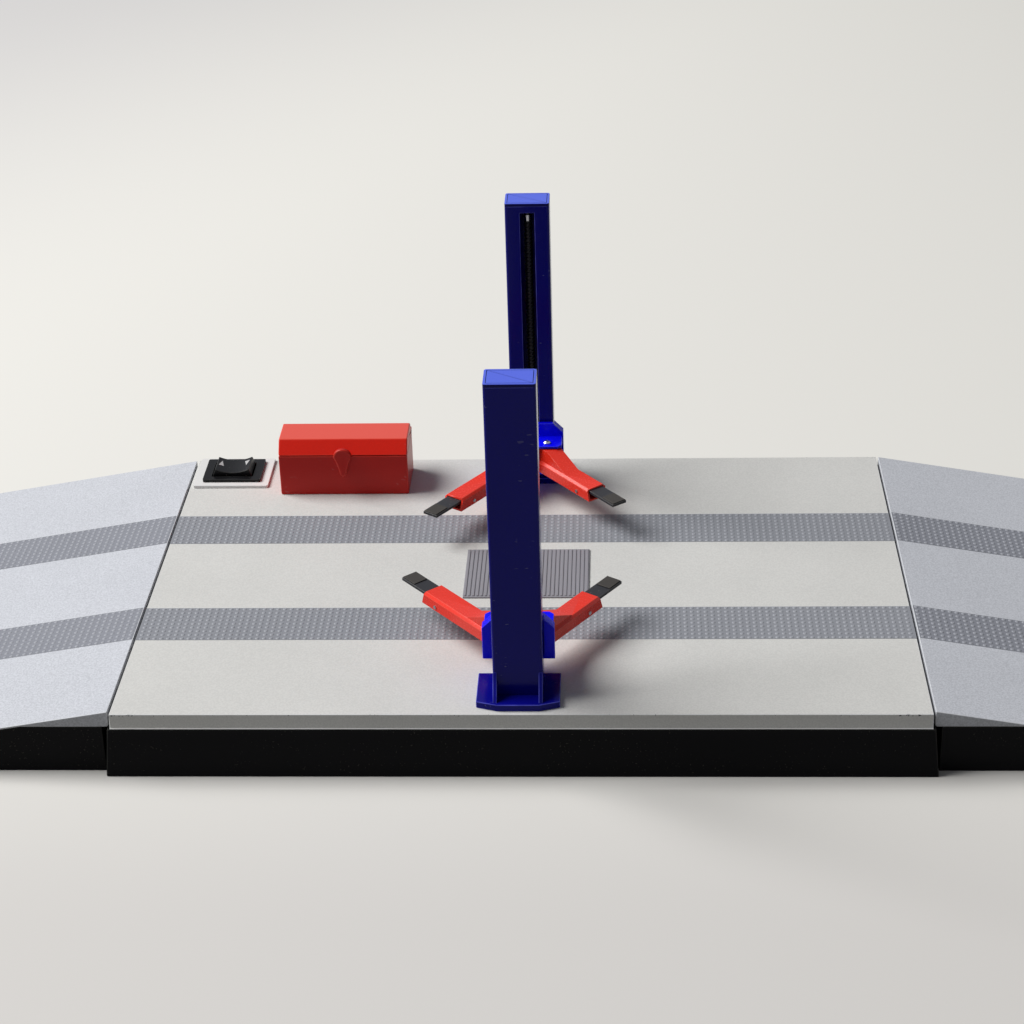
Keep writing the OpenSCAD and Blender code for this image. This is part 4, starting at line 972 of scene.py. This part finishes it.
@dataclass
class Ramp:
    """One drive-on ramp with its two tread inlays."""

    side: Side
    start_x: float = 181.0 * MM
    end_x: float = 352.0 * MM
    top: float = 31.0 * MM
    slope: float = 0.17193
    margin: float = 0.6 * MM
    track: float = 92 * MM
    strip_width: float = 28.8 * MM

    def build(self) -> None:
        """Builds the ramp's pieces."""
        name = f"{self.side.value}_ramp"
        soften(f"{name}_base", BLACK, "base_black", 0.4 * MM, 2, 4 * MM)
        soften(f"{name}_deck", RAMP, "ramp_grey", 0.3 * MM, 2, 4 * MM)
        dress(f"{name}_treads", RAMP_GAP)
        tilt = math.atan(self.slope)
        run = (self.end_x - self.start_x - 2 * self.margin) / math.cos(tilt)
        low = self.top - self.slope * self.margin
        for row, sign in (("front", -1), ("rear", 1)):
            mesh = TreadField(run, self.strip_width).build(0.0, 0.0, 0.0)
            mesh.moved(Matrix.Rotation(tilt, 4, "Y"))
            mesh.moved(Matrix.Translation((self.start_x + self.margin, sign * self.track / 2, low)))
            if self.side is Side.LEFT:
                mesh.moved(Matrix.Diagonal((-1.0, 1.0, 1.0, 1.0)))
            mesh.piece(f"{name}_{row}_tread_studs", name, RAMP_TREAD, "tread_grey", smooth=20.0)


@dataclass
class Stage:
    """The camera, the floor, the world and the lamps."""

    position: Place = (0.0451, -0.9421, 0.5697)
    yaw: float = math.radians(-3.134)
    pitch: float = math.radians(28.169)
    roll: float = math.radians(1.757)
    lens: float = 78.91
    sensor: float = 36.0
    clip: tuple[float, float] = (0.01, 50.0)
    floor_size: float = 9.0
    floor_colour: Colour = srgb(236, 234, 228)
    # Painted shade on the floor far to the left and near the camera.
    far_shade_colour: Colour = srgb(208, 206, 205)
    far_lean: float = 0.7
    far_place: float = 1.0
    far_fade: float = 0.9
    near_shade_colour: Colour = srgb(220, 217, 213)
    near_y: float = -0.14
    near_fade: float = 0.2
    sky_colour: Colour = srgb(232, 236, 244)
    sky: float = 0.55
    ambient: float = 0.12
    bounce: float = 0.36
    key_place: Place = (-3.3, 0.6, 3.85)
    key_size: tuple[float, float] = (3.2, 3.0)
    key_power: float = 320.0
    key_colour: tuple[float, float, float] = (1.0, 0.998, 0.995)

    def build(self) -> None:
        """Sets everything that isn't the object."""
        bpy.context.scene.view_settings.view_transform = "Standard"
        self.camera()
        self.floor()
        self.world()
        self.lamp()

    def camera(self) -> None:
        """Sets the camera at the photograph's place and angle."""
        forward = Vector((
            math.sin(self.yaw) * math.cos(self.pitch), math.cos(self.yaw) * math.cos(self.pitch), -math.sin(self.pitch),
        ))
        level = Vector((math.cos(self.yaw), -math.sin(self.yaw), 0.0))
        down = forward.cross(level)
        across = level * math.cos(self.roll) + down * math.sin(self.roll)
        up = level * math.sin(self.roll) - down * math.cos(self.roll)
        data = bpy.data.cameras.new("camera")
        data.lens, data.sensor_width = self.lens, self.sensor
        data.clip_start, data.clip_end = self.clip
        made = bpy.data.objects.new("camera", data)
        bpy.context.scene.collection.objects.link(made)
        turn = Matrix((across, up, -forward)).transposed().to_4x4()
        made.matrix_world = Matrix.Translation(self.position) @ turn
        bpy.context.scene.camera = made

    def seen(self, graph: Graph) -> Signal:
        """Mask of the rays that see the stage itself: camera, glossy and transmission rays."""
        rays = graph.node("ShaderNodeLightPath").outputs
        total = Signal(graph, rays["Is Camera Ray"]) + Signal(graph, rays["Is Glossy Ray"])
        return (total + Signal(graph, rays["Is Transmission Ray"])).above(0.5, 0.1)

    def floor(self) -> None:
        """Lays the pale floor, with the photo's darker tones painted in as painted shade far to the left and near the
        camera.
        """
        bm = bmesh.new()
        bmesh.ops.create_grid(bm, x_segments=1, y_segments=1, size=self.floor_size / 2)
        data = bpy.data.meshes.new("floor")
        bm.to_mesh(data)
        bm.free()
        made = bpy.data.materials.new("floor_paper")
        made.use_nodes = True
        graph = Graph(made.node_tree)
        place = graph.place()
        away = graph.axis(place, "Y") * self.far_lean - graph.axis(place, "X")
        tone = graph.blend(away.above(self.far_place, self.far_fade), self.floor_colour, self.far_shade_colour)
        tone = graph.blend(graph.axis(place, "Y").below(self.near_y, self.near_fade), tone, self.near_shade_colour)
        paper = graph.blend(self.seen(graph), tinted(self.floor_colour, self.bounce), tone)
        shader = graph.signal("ShaderNodeBsdfDiffuse", {}, {"Color": paper})
        graph.node("ShaderNodeOutputMaterial", {}, {"Surface": shader})
        data.materials.append(made)
        floor = bpy.data.objects.new("floor", data)
        bpy.context.scene.collection.objects.link(floor)

    def world(self) -> None:
        """Sets a dim ambient that looks pale to the camera and in reflections."""
        world = bpy.data.worlds.new("studio")
        world.use_nodes = True
        bpy.context.scene.world = world
        graph = Graph(world.node_tree)
        pale = graph.signal("ShaderNodeBackground", {}, {"Color": self.sky_colour, "Strength": self.sky})
        dim = graph.signal("ShaderNodeBackground", {}, {"Color": self.sky_colour, "Strength": self.ambient})
        mixed = graph.signal("ShaderNodeMixShader", {}, {0: self.seen(graph), 1: dim, 2: pale})
        graph.node("ShaderNodeOutputWorld", {}, {"Surface": mixed})

    def lamp(self) -> None:
        """Hangs a large soft box that looks at the object from the left, nearly overhead."""
        data = bpy.data.lights.new("soft_box", "AREA")
        data.shape, data.energy, data.color = "RECTANGLE", self.key_power, self.key_colour
        data.size, data.size_y = self.key_size
        made = bpy.data.objects.new("soft_box", data)
        bpy.context.scene.collection.objects.link(made)
        aim = Vector(self.key_place)
        made.matrix_world = Matrix.Translation(self.key_place) @ aim.to_track_quat("Z", "Y").to_matrix().to_4x4()


def main() -> None:
    """Builds the stage, then each sub-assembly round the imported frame."""
    logging.basicConfig(level=logging.INFO, format="%(name)s: %(message)s")
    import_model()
    Stage().build()
    Platform().build()
    for side in (Side.FRONT, Side.REAR):
        Column(side).build()
        Carriage(side).build()
        for hand in (Side.LEFT, Side.RIGHT):
            LiftArm(side, hand).build()
    Switch().build()
    Toolbox().build()
    for hand in (Side.LEFT, Side.RIGHT):
        Ramp(hand).build()
    dress("motor_pinion", BRASS)
    dress("battery_door", BLACK)


if __name__ == "__main__":
    main()
